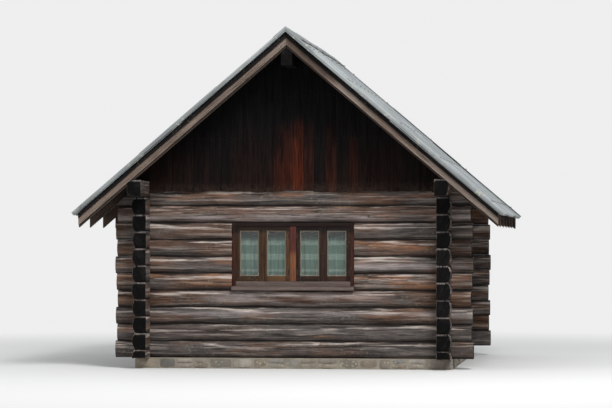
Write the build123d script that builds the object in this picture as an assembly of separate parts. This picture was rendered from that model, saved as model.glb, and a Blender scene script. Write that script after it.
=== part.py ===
from build123d import *
from math import cos, radians, sin, tan
import os

# Log cabin in millimetres. X runs across the front, Y from front to back, Z up.
# The origin is on the ground under the middle of the roof.

# Walls of hewn logs
room_width = 3900        # between the centre lines of the side walls
room_depth = 4200        # between the centre lines of the front and back walls
course = 217             # height that each log adds to its wall
courses = 10             # logs in the height of each wall
log_thickness = 184      # from the flat inner face to the middle of the bowed outer face
log_bow = 34             # swell of the outer face
log_end = 270            # log left standing out past the crossing wall
log_end_spread = 32      # how uneven those ends are
seam = 0.5               # joint between two pieces that bear on each other

# Stone footing
footing_height = 135
footing_outside = 98     # from a wall's centre line to the footing's outer face
footing_inside = 160     # the same inwards, where the joists bear

# Floor
floor_thickness = 30
joist_width = 80
joist_count = 5
floor_gap = 5            # between the floor and the walls
joist_from_wall = 250    # centre line of the outermost joist to the wall's centre line

# Window in the front wall
window_width = 1580
window_first = 4         # course on which the window stands
window_courses = 4
sill_thickness = 55
sill_nose = 38           # thickness of the sill at its outer edge
sill_reach = 45          # sill past the face of the wall
frame_setback = 25       # window frame behind the face of the wall
frame_depth = 110
jamb = 50
frame_rail = 60
mullion = 80
sash_setback = 12
sash_depth = 45
stile = 62
sash_foot = 78
rebate_width = 10
rebate_depth = 14
glass_thickness = 4
curtain_top = 500        # above the foot of the sash openings
curtain_thickness = 36
curtain_clear = 40       # between the window frame and the curtain rod's centre line
curtain_gap = 14
rod_diameter = 12

# Door in the back wall
door_width = 960
door_first = 1           # course on which the door frame stands
door_setback = 20
door_frame_depth = 140
door_jamb = 60
threshold = 40
leaf_thickness = 36
leaf_gap = 3
ledge_width = 120
ledge_thickness = 28
strap_length = 560
strap_width = 44
strap_thickness = 5
knuckle_diameter = 20
handle_height = 900      # above the threshold
handle_length = 150
handle_diameter = 16
handle_stand = 38

# Roof
pitch = 40.4             # degrees
front_overhang = 800     # verge to the centre line of the front wall
back_overhang = 400
eave_reach = 2700        # ridge to eave, measured level
rafter_width = 70
rafter_depth = 110
rafters_over_room = 6
deck_thickness = 24
ridge_beam_width = 140
ridge_beam_height = 220
post_width = 90
post_depth = 130
posts_each_side = 2
gable_board = 26
gable_lap = 50           # gable boarding hung down over the top log
barge_thickness = 28
barge_depth = 110
trim_thickness = 22
trim_depth = 45
sheet_verge = 40         # sheets past the verge trim
sheet_eave = 40          # sheets past the boarding
sheet_thickness = 6
wave_height = 40
wave_pitch = 177
wave_flat = 30           # level part of each crest and each valley
sheet_lap = 160
ridge_gap = 60           # from the ridge down to the first sheet
cap_wing = 210
cap_thickness = 5        # of the ridge cap and the verge caps
verge_cap_cover = 110    # top of a verge cap, over the first wave
verge_cap_drop = 45      # outer leg of a verge cap

# Places worked out from those sizes
log_height = course - seam
half_log = log_thickness / 2
half_width = room_width / 2
roof_length = front_overhang + room_depth + back_overhang
front_y = front_overhang - roof_length / 2
back_y = front_y + room_depth
cross_top = footing_height + courses * course
plate_base = footing_height + (courses - 0.5) * course
plate_top = plate_base + log_height
rise = tan(radians(pitch))
lean = cos(radians(pitch))
under_rafters = deck_thickness + rafter_depth
deck_ridge = plate_top + half_width * rise + under_rafters / lean
deck_end = eave_reach - sheet_eave
slope_end = eave_reach / lean
verge_to_trim = roof_length / 2 - sheet_verge
verge_to_barge = verge_to_trim - trim_thickness - seam
verge_to_rafter = verge_to_barge - barge_thickness - seam
beam_top = deck_ridge - (under_rafters + seam) / lean
beam_bottom = beam_top - ridge_beam_height
sheet_rise = seam
upper_sheet_rise = sheet_rise + sheet_thickness + seam
verge_cap_rise = upper_sheet_rise + wave_height + sheet_thickness + seam
ridge_cap_rise = verge_cap_rise + cap_thickness + seam


def block(x_from, x_to, y_from, y_to, z_from, z_to):
    """Straight piece between two opposite corners."""
    size = (x_to - x_from, y_to - y_from, z_to - z_from)
    middle = ((x_from + x_to) / 2, (y_from + y_to) / 2, (z_from + z_to) / 2)
    return Pos(*middle) * Box(*size)


def along_y(outline, y_from, y_to):
    """An outline drawn in X and Z, carried from front to back."""
    face = Plane.XZ.offset(-y_from) * outline
    return extrude(face, amount=y_to - y_from, dir=(0, 1, 0))


def both_sides(piece):
    """A piece of the right half with its twin on the left."""
    return [mirror(piece, about=Plane.YZ), piece]


def save(node, pieces):
    """Write the solids of one named piece of the cabin."""
    solids = [solid for piece in pieces for solid in piece.solids()]
    group = Compound(label=node, children=solids)
    export_step(group, "parts/" + node + ".step")


# Hewn logs and their corner joints

def log_outline(outer, spread=0.0):
    """Section of a log standing on zero height: bowed towards outer (-1 or 1), flat inside."""
    inside = -outer * (half_log + spread)
    shoulder = outer * (half_log - log_bow + spread)
    bow = outer * (half_log + spread)
    foot = -spread
    head = log_height + spread
    edges = [
        Line((inside, foot), (shoulder, foot)),
        ThreePointArc((shoulder, foot), (bow, log_height / 2), (shoulder, head)),
        Line((shoulder, head), (inside, head)),
        Line((inside, head), (inside, foot)),
    ]
    return make_face(edges)


def outward(place):
    """Side of the cabin, -1 or 1, on which a wall with this centre line faces out."""
    return 1 if place > 0 else -1


def cross_log(x_from, x_to, y, z, spread=0.0):
    """Plain log that runs across the cabin."""
    face = Plane.YZ * Pos(y, z) * log_outline(outward(y), spread)
    return extrude(Pos(x_from, 0, 0) * face, amount=x_to - x_from, dir=(1, 0, 0))


def side_log(y_from, y_to, x, z, spread=0.0):
    """Plain log that runs from front to back."""
    return along_y(Pos(x, z) * log_outline(outward(x), spread), y_from, y_to)


def end_reach(row):
    """How far a log stands out past the crossing wall's face, a little uneven."""
    return log_end - log_end_spread * (row * 3 % 5) / 4


def saddles_for_side_logs(y, z):
    """The two side logs that a log of the front or back wall sits over."""
    below = z - course / 2
    y_from = y - log_thickness
    y_to = y + log_thickness
    return [side_log(y_from, y_to, x, below, seam) for x in (-half_width, half_width)]


def saddles_for_cross_logs(x, z):
    """The front and back logs that a side log sits over."""
    below = z - course / 2
    x_from = x - log_thickness
    x_to = x + log_thickness
    return [cross_log(x_from, x_to, y, below, seam) for y in (front_y, back_y)]


def cut_all(piece, tools):
    """A piece with each tool taken out of it."""
    for tool in tools:
        piece = piece - tool
    return piece


def notched_cross_log(y, row, x_from, x_to):
    """Log of the front or back wall, saddled over the side logs and trimmed to the roof."""
    z = footing_height + row * course
    log = cross_log(x_from, x_to, y, z)
    log = cut_all(log, saddles_for_side_logs(y, z))
    if row == courses - 1:
        log = cut_all(log, roof_space(y - log_thickness, y + log_thickness))
    return log


def whole_cross_logs(y, rows):
    """Logs that run the whole width of the front or back wall."""
    logs = []
    for row in rows:
        reach = half_width + half_log + end_reach(row)
        logs.append(notched_cross_log(y, row, -reach, reach))
    return logs


def short_cross_logs(y, rows, opening, side):
    """Logs that stop at an opening, on its left (-1) or right (1) side."""
    logs = []
    for row in rows:
        ends = (side * opening / 2, side * (half_width + half_log + end_reach(row)))
        logs.append(notched_cross_log(y, row, min(ends), max(ends)))
    return logs


def notched_side_log(x, row, y_from, y_to):
    """Log of a side wall, half a course above the front logs and saddled over them."""
    z = footing_height + (row + 0.5) * course
    return cut_all(side_log(y_from, y_to, x, z), saddles_for_cross_logs(x, z))


def side_sill(x):
    """Half log on the footing that starts a side wall half a course up."""
    reach = half_log + end_reach(0)
    log = side_log(front_y - reach, back_y + reach, x, footing_height - course / 2)
    waste = block(x - course, x + course, front_y - course * 2, back_y + course * 2,
                  -course, footing_height)
    return log - waste


def side_wall(x):
    """Half log, then whole logs up to the wall plate."""
    logs = [side_sill(x)]
    for row in range(courses - 1):
        reach = half_log + end_reach(row + 2)
        logs.append(notched_side_log(x, row, front_y - reach, back_y + reach))
    return logs


def wall_plate(x):
    """Top log of a side wall, which runs on under both verges."""
    return [notched_side_log(x, courses - 1, -verge_to_rafter, verge_to_rafter)]


# Footing and floor

def footing_cross(y, inwards):
    """Strip of masonry under the front or back wall."""
    ends = (y - inwards * footing_outside, y + inwards * footing_inside)
    reach = half_width + footing_outside
    return [block(-reach, reach, min(ends), max(ends), 0, footing_height)]


def footing_side(side):
    """Strip of masonry under a side wall, between the front and back strips."""
    ends = (side * (half_width - footing_inside), side * (half_width + footing_outside))
    return [block(min(ends), max(ends), front_y + footing_inside, back_y - footing_inside,
                  0, footing_height)]


floor_top = footing_height + course


def floor_boards():
    """Plank floor, level with the top of the first log."""
    x = half_width - half_log - floor_gap
    return [block(-x, x, front_y + half_log + floor_gap, back_y - half_log - floor_gap,
                  floor_top - floor_thickness, floor_top)]


def floor_joists():
    """Joists from the front footing to the back one."""
    outer = half_width - joist_from_wall
    spacing = 2 * outer / (joist_count - 1)
    pieces = []
    for number in range(joist_count):
        x = -outer + number * spacing
        pieces.append(block(x - joist_width / 2, x + joist_width / 2,
                            front_y + half_log + floor_gap, back_y - half_log - floor_gap,
                            footing_height + seam, floor_top - floor_thickness - seam))
    return pieces


# Window

window_low = footing_height + window_first * course
window_high = window_low + window_courses * course
frame_low = window_low + sill_thickness + seam
frame_high = window_high - seam
frame_front = front_y - half_log + frame_setback
frame_back = frame_front + frame_depth
sash_low = frame_low + frame_rail + seam
sash_high = frame_high - jamb - seam
sash_front = frame_front + sash_setback
sash_bay = (window_width / 2 - seam - jamb - mullion / 2) / 2


def window_sill():
    """Sill board with a sloping top in front of the frame."""
    nose = front_y - half_log - sill_reach
    inside = front_y + half_log
    low = window_low + seam
    outline = Polyline((nose, low), (inside, low), (inside, low + sill_thickness - seam),
                       (frame_front, low + sill_thickness - seam), (nose, low + sill_nose), close=True)
    half = window_width / 2 - seam
    face = Plane.YZ * make_face(outline)
    return [extrude(Pos(-half, 0, 0) * face, amount=2 * half, dir=(1, 0, 0))]


def window_frame():
    """Frame with a middle post between its two bays."""
    half = window_width / 2 - seam
    frame = block(-half, half, frame_front, frame_back, frame_low, frame_high)
    bay = block(mullion / 2, half - jamb, frame_front, frame_back,
                frame_low + frame_rail, frame_high - jamb)
    return [cut_all(frame, both_sides(bay))]


def sash_places():
    """Left and right edge of each of the four casements."""
    places = []
    for side in (-1, 1):
        for bay in (0, 1):
            inner = mullion / 2 + bay * sash_bay + seam
            outer = mullion / 2 + (bay + 1) * sash_bay - seam
            places.append(sorted((side * inner, side * outer)))
    return sorted(places)


def window_sash(x_from, x_to):
    """Casement with a rebate on its outside for the glass."""
    body = block(x_from, x_to, sash_front, sash_front + sash_depth, sash_low, sash_high)
    sight = block(x_from + stile, x_to - stile, sash_front, sash_front + sash_depth,
                  sash_low + sash_foot, sash_high - stile)
    rebate = block(x_from + stile - rebate_width, x_to - stile + rebate_width,
                   sash_front, sash_front + rebate_depth,
                   sash_low + sash_foot - rebate_width, sash_high - stile + rebate_width)
    return body - sight - rebate


def window_pane(x_from, x_to):
    """Sheet of glass on the bottom of the rebate."""
    edge = stile - rebate_width + seam
    back = sash_front + rebate_depth - seam
    return block(x_from + edge, x_to - edge, back - glass_thickness, back,
                 sash_low + sash_foot - rebate_width + seam,
                 sash_high - stile + rebate_width - seam)


rod_y = frame_back + curtain_clear
rod_z = sash_low + sash_foot + curtain_top + rod_diameter / 2 + seam


def curtain_rod():
    """Rod behind the window on three arms."""
    half = window_width / 2 - jamb
    rod = Pos(0, rod_y, rod_z) * Rot(0, 90, 0) * Cylinder(rod_diameter / 2, 2 * half)
    arm = rod_diameter / 2
    arms = [block(x - arm, x + arm, frame_back + seam, rod_y, rod_z - arm, rod_z + arm)
            for x in (-half + arm, 0, half - arm)]
    for piece in arms:
        rod = rod + piece
    return [rod]


def window_curtain(x_from, x_to):
    """Short curtain that hangs under the rod behind one casement."""
    return block(x_from + curtain_gap, x_to - curtain_gap,
                 rod_y - curtain_thickness / 2, rod_y + curtain_thickness / 2,
                 sash_low + sash_foot / 2, rod_z - rod_diameter / 2 - seam)


# Door

door_low = footing_height + door_first * course
door_high = footing_height + (courses - 1) * course
door_face = back_y + half_log - door_setback
leaf_low = door_low + seam + threshold + leaf_gap
leaf_high = door_high - seam - door_jamb - leaf_gap
leaf_half = door_width / 2 - seam - door_jamb - leaf_gap


def door_frame():
    """Frame with a threshold, lining the doorway in the log wall."""
    half = door_width / 2 - seam
    frame = block(-half, half, door_face - door_frame_depth, door_face,
                  door_low + seam, door_high - seam)
    clear = block(-half + door_jamb, half - door_jamb,
                  door_face - door_frame_depth, door_face,
                  door_low + seam + threshold, door_high - seam - door_jamb)
    return [frame - clear]


def door_leaf():
    """Plank door with two ledges across its inner side."""
    leaf = block(-leaf_half, leaf_half, door_face - leaf_thickness, door_face, leaf_low, leaf_high)
    inner = door_face - leaf_thickness
    for z in hinge_heights():
        leaf = leaf + block(-leaf_half + ledge_width / 2, leaf_half - ledge_width / 2,
                            inner - ledge_thickness, inner,
                            z - ledge_width / 2, z + ledge_width / 2)
    return [leaf]


def hinge_heights():
    """The two strap hinges, a fifth of the leaf in from its foot and head."""
    height = leaf_high - leaf_low
    return [leaf_low + height / 5, leaf_high - height / 5]


def door_hinges():
    """Strap hinges laid across the leaf and the jamb."""
    pivot = -leaf_half - leaf_gap / 2
    hinges = []
    for z in hinge_heights():
        low = z - strap_width / 2
        high = z + strap_width / 2
        strap = block(pivot - door_jamb / 2, pivot + strap_length,
                      door_face + seam, door_face + seam + strap_thickness, low, high)
        knuckle = Pos(pivot, door_face + seam + knuckle_diameter / 2, z)
        strap = strap + knuckle * Cylinder(knuckle_diameter / 2, strap_width)
        hinges.append(strap)
    return hinges


def door_handle():
    """Upright pull on two short necks."""
    x = leaf_half - ledge_width / 2
    z = leaf_low + handle_height
    y = door_face + seam + handle_stand
    grip = Pos(x, y, z) * Cylinder(handle_diameter / 2, handle_length)
    neck_offset = handle_length / 2 - handle_diameter / 2
    for height in (z - neck_offset, z + neck_offset):
        grip = grip + block(x - handle_diameter / 2, x + handle_diameter / 2,
                            door_face + seam, y, height - handle_diameter / 2,
                            height + handle_diameter / 2)
    return [grip]


# Roof

def slope_height(x, depth):
    """Height of a layer that lies some depth square below the top of the boarding."""
    return deck_ridge - x * rise - depth / lean


def slope_outline(x_from, x_to, top, bottom):
    """Outline of a layer of the right slope, cut plumb at both ends."""
    corners = Polyline((x_from, slope_height(x_from, top)), (x_to, slope_height(x_to, top)),
                       (x_to, slope_height(x_to, bottom)), (x_from, slope_height(x_from, bottom)),
                       close=True)
    return make_face(corners)


def roof_space(y_from, y_to):
    """Space of the rafters and all above them, on both slopes."""
    top = deck_ridge + course
    corners = Polyline((0, slope_height(0, under_rafters + seam)),
                       (eave_reach, slope_height(eave_reach, under_rafters + seam)),
                       (eave_reach, top), (0, top), close=True)
    return both_sides(along_y(make_face(corners), y_from, y_to))


def ridge_beam_outline(spread=0.0):
    """Section of the ridge beam, its top bevelled to both slopes."""
    half = ridge_beam_width / 2 + spread
    shoulder = beam_top - half * rise + spread
    low = beam_bottom - spread
    corners = Polyline((0, beam_top + spread), (half, shoulder), (half, low),
                       (-half, low), (-half, shoulder), close=True)
    return make_face(corners)


def ridge_beam():
    """Beam under the rafters' heads, from verge to verge."""
    return [along_y(ridge_beam_outline(), -verge_to_rafter, verge_to_rafter)]


def rafter_places():
    """Front face of each rafter: one at each verge, the rest from wall to wall."""
    spacing = room_depth / (rafters_over_room - 1)
    places = [-verge_to_rafter]
    for number in range(rafters_over_room):
        places.append(front_y + number * spacing - rafter_width / 2)
    places.append(verge_to_rafter - rafter_width)
    return places


def rafter_outline():
    """Rafter with a seat scribed to the wall plate."""
    bar = slope_outline(seam / 2, deck_end - seam, deck_thickness + seam, under_rafters)
    return bar - Pos(half_width, plate_base) * log_outline(1, seam)


def rafters():
    """All rafters of the right slope."""
    outline = rafter_outline()
    return [along_y(outline, y, y + rafter_width) for y in rafter_places()]


def roof_boarding():
    """Boarding of the right slope."""
    outline = slope_outline(seam / 2, deck_end, 0, deck_thickness)
    return [along_y(outline, -verge_to_rafter, verge_to_rafter)]


def barge_boards(face):
    """The two boards over the rafters and boarding at one verge."""
    outline = slope_outline(seam / 2, deck_end, 0, barge_depth)
    return both_sides(along_y(outline, min(face), max(face)))


def verge_trims(face):
    """The two narrow boards on the upper part of the barge boards."""
    outline = slope_outline(seam / 2, deck_end, 0, trim_depth)
    return both_sides(along_y(outline, min(face), max(face)))


def down_the_slope(outline, slope_from, slope_to):
    """An outline drawn from front to back and out of the right slope, carried down that slope."""
    down = Vector(lean, 0, -sin(radians(pitch)))
    start = down * slope_from + Vector(0, 0, deck_ridge)
    section = Plane(origin=start, x_dir=(0, 1, 0), z_dir=down)
    return extrude(section * make_face(outline), amount=slope_to - slope_from, dir=down)


def wave_line(height):
    """Points along the corrugation, from valley to valley, raised by a height."""
    waves = round(roof_length / wave_pitch)
    length = roof_length / waves
    points = [(-roof_length / 2, height)]
    for wave in range(waves):
        crest = -roof_length / 2 + (wave + 0.5) * length
        points.append((crest - length / 2 + wave_flat / 2, height))
        points.append((crest - wave_flat / 2, height + wave_height))
        points.append((crest + wave_flat / 2, height + wave_height))
        points.append((crest + length / 2 - wave_flat / 2, height))
    points.append((roof_length / 2, height))
    return points


def corrugated_row(slope_from, slope_to, height):
    """One row of corrugated sheets, its waves running down the right slope."""
    under = wave_line(height)
    over = wave_line(height + sheet_thickness)
    return down_the_slope(Polyline(*under, *reversed(over), close=True), slope_from, slope_to)


def roof_sheets():
    """Lower and upper row of sheets on the right slope, the upper lapped over the lower."""
    middle = (ridge_gap + slope_end) / 2
    lower = corrugated_row(middle - sheet_lap / 2, slope_end, sheet_rise)
    upper = corrugated_row(ridge_gap, middle + sheet_lap / 2, upper_sheet_rise)
    return [lower, upper]


def verge_caps():
    """Angle pieces over the ends of the sheets, mitred at the ridge: two at each verge."""
    low = verge_cap_rise
    high = low + cap_thickness
    inner = roof_length / 2 + seam
    outer = inner + cap_thickness
    outline = Polyline((inner - verge_cap_cover, low), (inner, low), (inner, high - verge_cap_drop),
                       (outer, high - verge_cap_drop), (outer, high), (inner - verge_cap_cover, high),
                       close=True)
    angle = down_the_slope(outline, -high * rise, slope_end)
    past_ridge = block(-course, seam / 2, inner - course, inner + course,
                       deck_ridge - course, deck_ridge + course)
    angle = angle - past_ridge
    return both_sides(mirror(angle, about=Plane.XZ)) + both_sides(angle)


def ridge_cap():
    """Folded sheet over the ridge, from verge cap to verge cap."""
    wing = slope_outline(0, cap_wing * lean, -ridge_cap_rise - cap_thickness, -ridge_cap_rise)
    reach = roof_length / 2 + seam + cap_thickness
    cap = along_y(wing, -reach, reach)
    return [cap + mirror(cap, about=Plane.YZ)]


# Gables

def gable_posts(outer):
    """Posts on the top log; outer is the outside direction, -1 in front and 1 behind."""
    y = front_y if outer < 0 else back_y
    ends = sorted((y + outer * half_log, y + outer * (half_log - post_depth)))
    spacing = half_width / (posts_each_side + 0.5)
    posts = []
    for number in range(-posts_each_side, posts_each_side + 1):
        x = number * spacing
        top = beam_bottom - seam if number == 0 else deck_ridge
        post = block(x - post_width / 2, x + post_width / 2, ends[0], ends[1], cross_top, top)
        if number != 0:
            post = cut_all(post, roof_space(ends[0], ends[1]))
        posts.append(post)
    return posts


def gable_boards(outer):
    """Boarding of one gable, cut round the ridge beam and over the wall plates."""
    y = front_y if outer < 0 else back_y
    inner_face = y + outer * (half_log + seam)
    ends = sorted((inner_face, inner_face + outer * gable_board))
    low = cross_top - gable_lap
    shoulder = plate_top + seam
    between_plates = half_width - half_log - seam
    side = half_width + half_log
    top = deck_thickness + seam
    corners = Polyline((0, low), (between_plates, low), (between_plates, shoulder),
                       (side, shoulder), (side, slope_height(side, top)),
                       (0, slope_height(0, top)), close=True)
    half = make_face(corners)
    outline = half + mirror(half, about=Plane.YZ) - ridge_beam_outline(seam)
    return [along_y(outline, ends[0], ends[1])]


def write_walls():
    """Footing, log walls and floor."""
    save("footing_front", footing_cross(front_y, 1))
    save("footing_back", footing_cross(back_y, -1))
    save("footing_left", footing_side(-1))
    save("footing_right", footing_side(1))
    beside_window = range(window_first, window_first + window_courses)
    save("front_logs_low", whole_cross_logs(front_y, range(window_first)))
    save("front_logs_left_of_window", short_cross_logs(front_y, beside_window, window_width, -1))
    save("front_logs_right_of_window", short_cross_logs(front_y, beside_window, window_width, 1))
    save("front_logs_high", whole_cross_logs(front_y, range(window_first + window_courses, courses)))
    beside_door = range(door_first, courses - 1)
    save("back_logs_low", whole_cross_logs(back_y, range(door_first)))
    save("back_logs_left_of_door", short_cross_logs(back_y, beside_door, door_width, -1))
    save("back_logs_right_of_door", short_cross_logs(back_y, beside_door, door_width, 1))
    save("back_log_high", whole_cross_logs(back_y, [courses - 1]))
    save("left_wall_logs", side_wall(-half_width))
    save("right_wall_logs", side_wall(half_width))
    save("left_wall_plate", wall_plate(-half_width))
    save("right_wall_plate", wall_plate(half_width))
    save("floor_joists", floor_joists())
    save("floor_boards", floor_boards())


def write_openings():
    """Window and door."""
    save("window_sill", window_sill())
    save("window_frame", window_frame())
    save("window_sashes", [window_sash(*place) for place in sash_places()])
    save("window_glass", [window_pane(*place) for place in sash_places()])
    save("curtain_rod", curtain_rod())
    save("window_curtains", [window_curtain(*place) for place in sash_places()])
    save("door_frame", door_frame())
    save("door_leaf", door_leaf())
    save("door_hinges", door_hinges())
    save("door_handle", door_handle())


def write_roof():
    """Gables and roof."""
    save("front_gable_posts", gable_posts(-1))
    save("back_gable_posts", gable_posts(1))
    save("front_gable_boards", gable_boards(-1))
    save("back_gable_boards", gable_boards(1))
    save("ridge_beam", ridge_beam())
    slopes = {"rafters": rafters(), "roof_boarding": roof_boarding(), "roof_sheets": roof_sheets()}
    for name, pieces in slopes.items():
        save(name + "_right", pieces)
        save(name + "_left", [mirror(piece, about=Plane.YZ) for piece in pieces])
    save("verge_caps", verge_caps())
    save("ridge_cap", ridge_cap())
    save("front_barge_boards", barge_boards((-verge_to_barge, barge_thickness - verge_to_barge)))
    save("back_barge_boards", barge_boards((verge_to_barge, verge_to_barge - barge_thickness)))
    save("front_verge_trims", verge_trims((-verge_to_trim, trim_thickness - verge_to_trim)))
    save("back_verge_trims", verge_trims((verge_to_trim, verge_to_trim - trim_thickness)))


os.makedirs("parts", exist_ok=True)
write_walls()
write_openings()
write_roof()
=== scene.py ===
# %% [markdown]
# # Dressing a small log cabin
#
# The frame holds the cabin as plain solids, in metres: X runs across the front, Y from the front gable to the
# back one, Z up. The cells below give them the surface of the real thing.

# %% Load the frame
from itertools import pairwise
from math import cos, pi, radians, sin, sqrt, tan

import bmesh
import bpy
import numpy as np
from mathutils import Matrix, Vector, noise


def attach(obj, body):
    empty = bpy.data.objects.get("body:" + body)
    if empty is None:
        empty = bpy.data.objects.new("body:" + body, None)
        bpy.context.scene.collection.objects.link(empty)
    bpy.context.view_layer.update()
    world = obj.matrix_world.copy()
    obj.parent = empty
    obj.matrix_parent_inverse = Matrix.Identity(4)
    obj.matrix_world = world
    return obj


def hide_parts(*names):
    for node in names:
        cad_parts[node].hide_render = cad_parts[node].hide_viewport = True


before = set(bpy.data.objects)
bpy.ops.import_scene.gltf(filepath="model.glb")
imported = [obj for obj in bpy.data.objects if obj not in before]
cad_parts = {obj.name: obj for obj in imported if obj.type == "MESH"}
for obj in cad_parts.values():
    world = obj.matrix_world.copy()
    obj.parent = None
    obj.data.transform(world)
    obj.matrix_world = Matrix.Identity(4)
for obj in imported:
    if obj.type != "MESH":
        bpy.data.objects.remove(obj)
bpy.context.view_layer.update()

scene = bpy.context.scene

# %% [markdown]
# ## The sizes that rule the cabin
#
# A log wall is ruled by its course, the height that each log adds, and the roof by its pitch. These
# numbers are those of the solids.

# %% Sizes
SEAM = 0.0005  # joint between two pieces that bear on each other
COURSE = 0.217
COURSES = 10
LOG_HEIGHT = COURSE - SEAM
HALF_LOG = 0.092  # half the thickness of a log
LOG_BOW = 0.034  # swell of its outer face
BOW_RADIUS = ((LOG_HEIGHT / 2) ** 2 + LOG_BOW ** 2) / (2 * LOG_BOW)
FOOTING = 0.135
WALL_X = 1.95  # centre line of a side wall
FRONT_Y = -1.9
BACK_Y = 2.3
PITCH = radians(40.4)
RISE, LEAN, DROP = tan(PITCH), cos(PITCH), sin(PITCH)
EAVE = 2.7  # ridge to eave, measured level
VERGE = 2.7  # middle of the roof to its verge
UNDER_RAFTERS = 0.134  # boarding and rafters together
PLATE_TOP = FOOTING + (COURSES - 0.5) * COURSE + LOG_HEIGHT
DECK_RIDGE = PLATE_TOP + WALL_X * RISE + UNDER_RAFTERS / LEAN
UP, ACROSS, BACKWARD = (0, 0, 1), (1, 0, 0), (0, 1, 0)
print("top of the boarding at the ridge", round(DECK_RIDGE, 3))

# %% [markdown]
# ## Words for nodes
#
# A material is a graph of nodes. Linked one by one, even a simple mask takes a dozen lines, so an output
# of a node becomes a `Wire` here, and a sum of wires makes the Math nodes for it. `wire` adds any other
# node and gives one of its outputs, `wires` gives them all by name.

# %% Wires and their sums
def add_node(kind, inputs=(), tree=None, **settings):
    """A new node, in the tree of the first wire among its inputs if no tree is given."""
    inputs = dict(inputs)
    tree = tree or next(value.tree for value in inputs.values() if isinstance(value, Wire))
    made = tree.nodes.new(kind)
    for name, value in settings.items():
        setattr(made, name, value)
    for key, value in inputs.items():
        if isinstance(value, Wire):
            tree.links.new(value.socket, made.inputs[key])
        else:
            made.inputs[key].default_value = value
    return made


def wire(kind, inputs=(), tree=None, out=0, **settings):
    return Wire(add_node(kind, inputs, tree, **settings).outputs[out])


def wires(node):
    return {socket.name: Wire(socket) for socket in node.outputs}


def maths(operation, swapped=False):
    """A method that adds a Math node, or a Vector Math node where the wire carries a vector."""
    def method(self, other=0.0):
        kind = "ShaderNodeVectorMath" if self.socket.type == "VECTOR" else "ShaderNodeMath"
        pair = (other, self) if swapped else (self, other)
        return wire(kind, enumerate(pair), operation=operation)
    return method


class Wire:
    """One output of a node, which can be summed like a number."""

    def __init__(self, socket):
        self.socket, self.tree = socket, socket.id_data

    __add__, __radd__ = maths("ADD"), maths("ADD", swapped=True)
    __sub__, __rsub__ = maths("SUBTRACT"), maths("SUBTRACT", swapped=True)
    __mul__, __truediv__, __rtruediv__ = maths("MULTIPLY"), maths("DIVIDE"), maths("DIVIDE", swapped=True)
    __abs__, sine, cosine = maths("ABSOLUTE"), maths("SINE"), maths("COSINE")
    or_more = maths("MAXIMUM")


print("wires understand + - * / abs and or_more")

# %% [markdown]
# ## Words for colours and patterns
#
# Four words say most of a weathered surface. `speckle` is cloudy noise, `window` turns a range of values
# into a mask from 0 to 1, `blend` lays one colour over another where a mask says so, and `rgb` writes a
# colour as it looks on a screen.

# %% Colours and patterns
def rgb(red, green, blue):
    """A screen colour, its parts from 0 to 255, in the linear form of shaders."""
    shares = [v / 255 for v in (red, green, blue)]
    return tuple(v / 12.92 if v <= 0.04045 else ((v + 0.055) / 1.055) ** 2.4 for v in shares) + (1,)


def blend(share, first, second, mode="MIX"):
    """The first colour, covered by the second one to a share."""
    return wire("ShaderNodeMix", {0: share, 6: first, 7: second}, out=2, data_type="RGBA", blend_type=mode)


def window(value, low, high, to_low=0.0, to_high=1.0, smooth=True):
    """Moves a value from one range to another and holds it at the limits."""
    return wire("ShaderNodeMapRange", {0: value, 1: low, 2: high, 3: to_low, 4: to_high},
                interpolation_type="SMOOTHSTEP" if smooth else "LINEAR")


def speckle(place, scale=1.0, detail=4.0, roughness=0.55, distortion=0.0):
    return wire("ShaderNodeTexNoise", {
        "Vector": place, "Scale": scale, "Detail": detail, "Roughness": roughness, "Distortion": distortion})


def vector(x=0.0, y=0.0, z=0.0):
    return wire("ShaderNodeCombineXYZ", {0: x, 1: y, 2: z})


def parts_of(place):
    return list(wires(add_node("ShaderNodeSeparateXYZ", {0: place})).values())


def length_of(place):
    return wire("ShaderNodeVectorMath", {0: place}, out="Value", operation="LENGTH")


def attribute(tree, name):
    return wire("ShaderNodeAttribute", tree=tree, out="Vector", attribute_name=name)


def object_place(tree):
    """The place of a point on the cabin, in metres."""
    return wire("ShaderNodeTexCoord", tree=tree, out="Object")


print("white on a screen is", rgb(255, 255, 255))

# %% [markdown]
# ## Effects that several materials share
#
# Weathered wood shows streaks and fibres along the grain, drying cracks and worn arrises, and dust and
# lichen settle on wood, stone and sheets alike. Each effect is one node group that puts out masks only.
# The colours stay in the materials.

# %% A group with named sockets
def effect(name, inputs):
    """An empty shader group; returns its tree and its named inputs as wires."""
    tree = bpy.data.node_groups.new(name, "ShaderNodeTree")
    for label, value in inputs.items():
        kind = "NodeSocketVector" if isinstance(value, tuple) else "NodeSocketFloat"
        tree.interface.new_socket(label, in_out="INPUT", socket_type=kind).default_value = value
    return tree, wires(tree.nodes.new("NodeGroupInput"))


def put_out(tree, masks):
    """Gives a group an output for each mask."""
    for label in masks:
        tree.interface.new_socket(label, in_out="OUTPUT", socket_type="NodeSocketFloat")
    end = tree.nodes.new("NodeGroupOutput")
    for label, mask in masks.items():
        tree.links.new(mask.socket, end.inputs[label])
    print("shared effect:", tree.name, list(masks))
    return tree


def use(tree, group, inputs):
    """The outputs of a group used in a material."""
    return wires(add_node("ShaderNodeGroup", inputs, tree, node_tree=group))

# %% [markdown]
# The grain of wood is long and thin. So is its noise, because the place is multiplied far more across
# the grain than along it. A crack is where a slow noise passes through its middle value: a thin line
# along the timber, which breaks off where a second noise is low.

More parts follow.
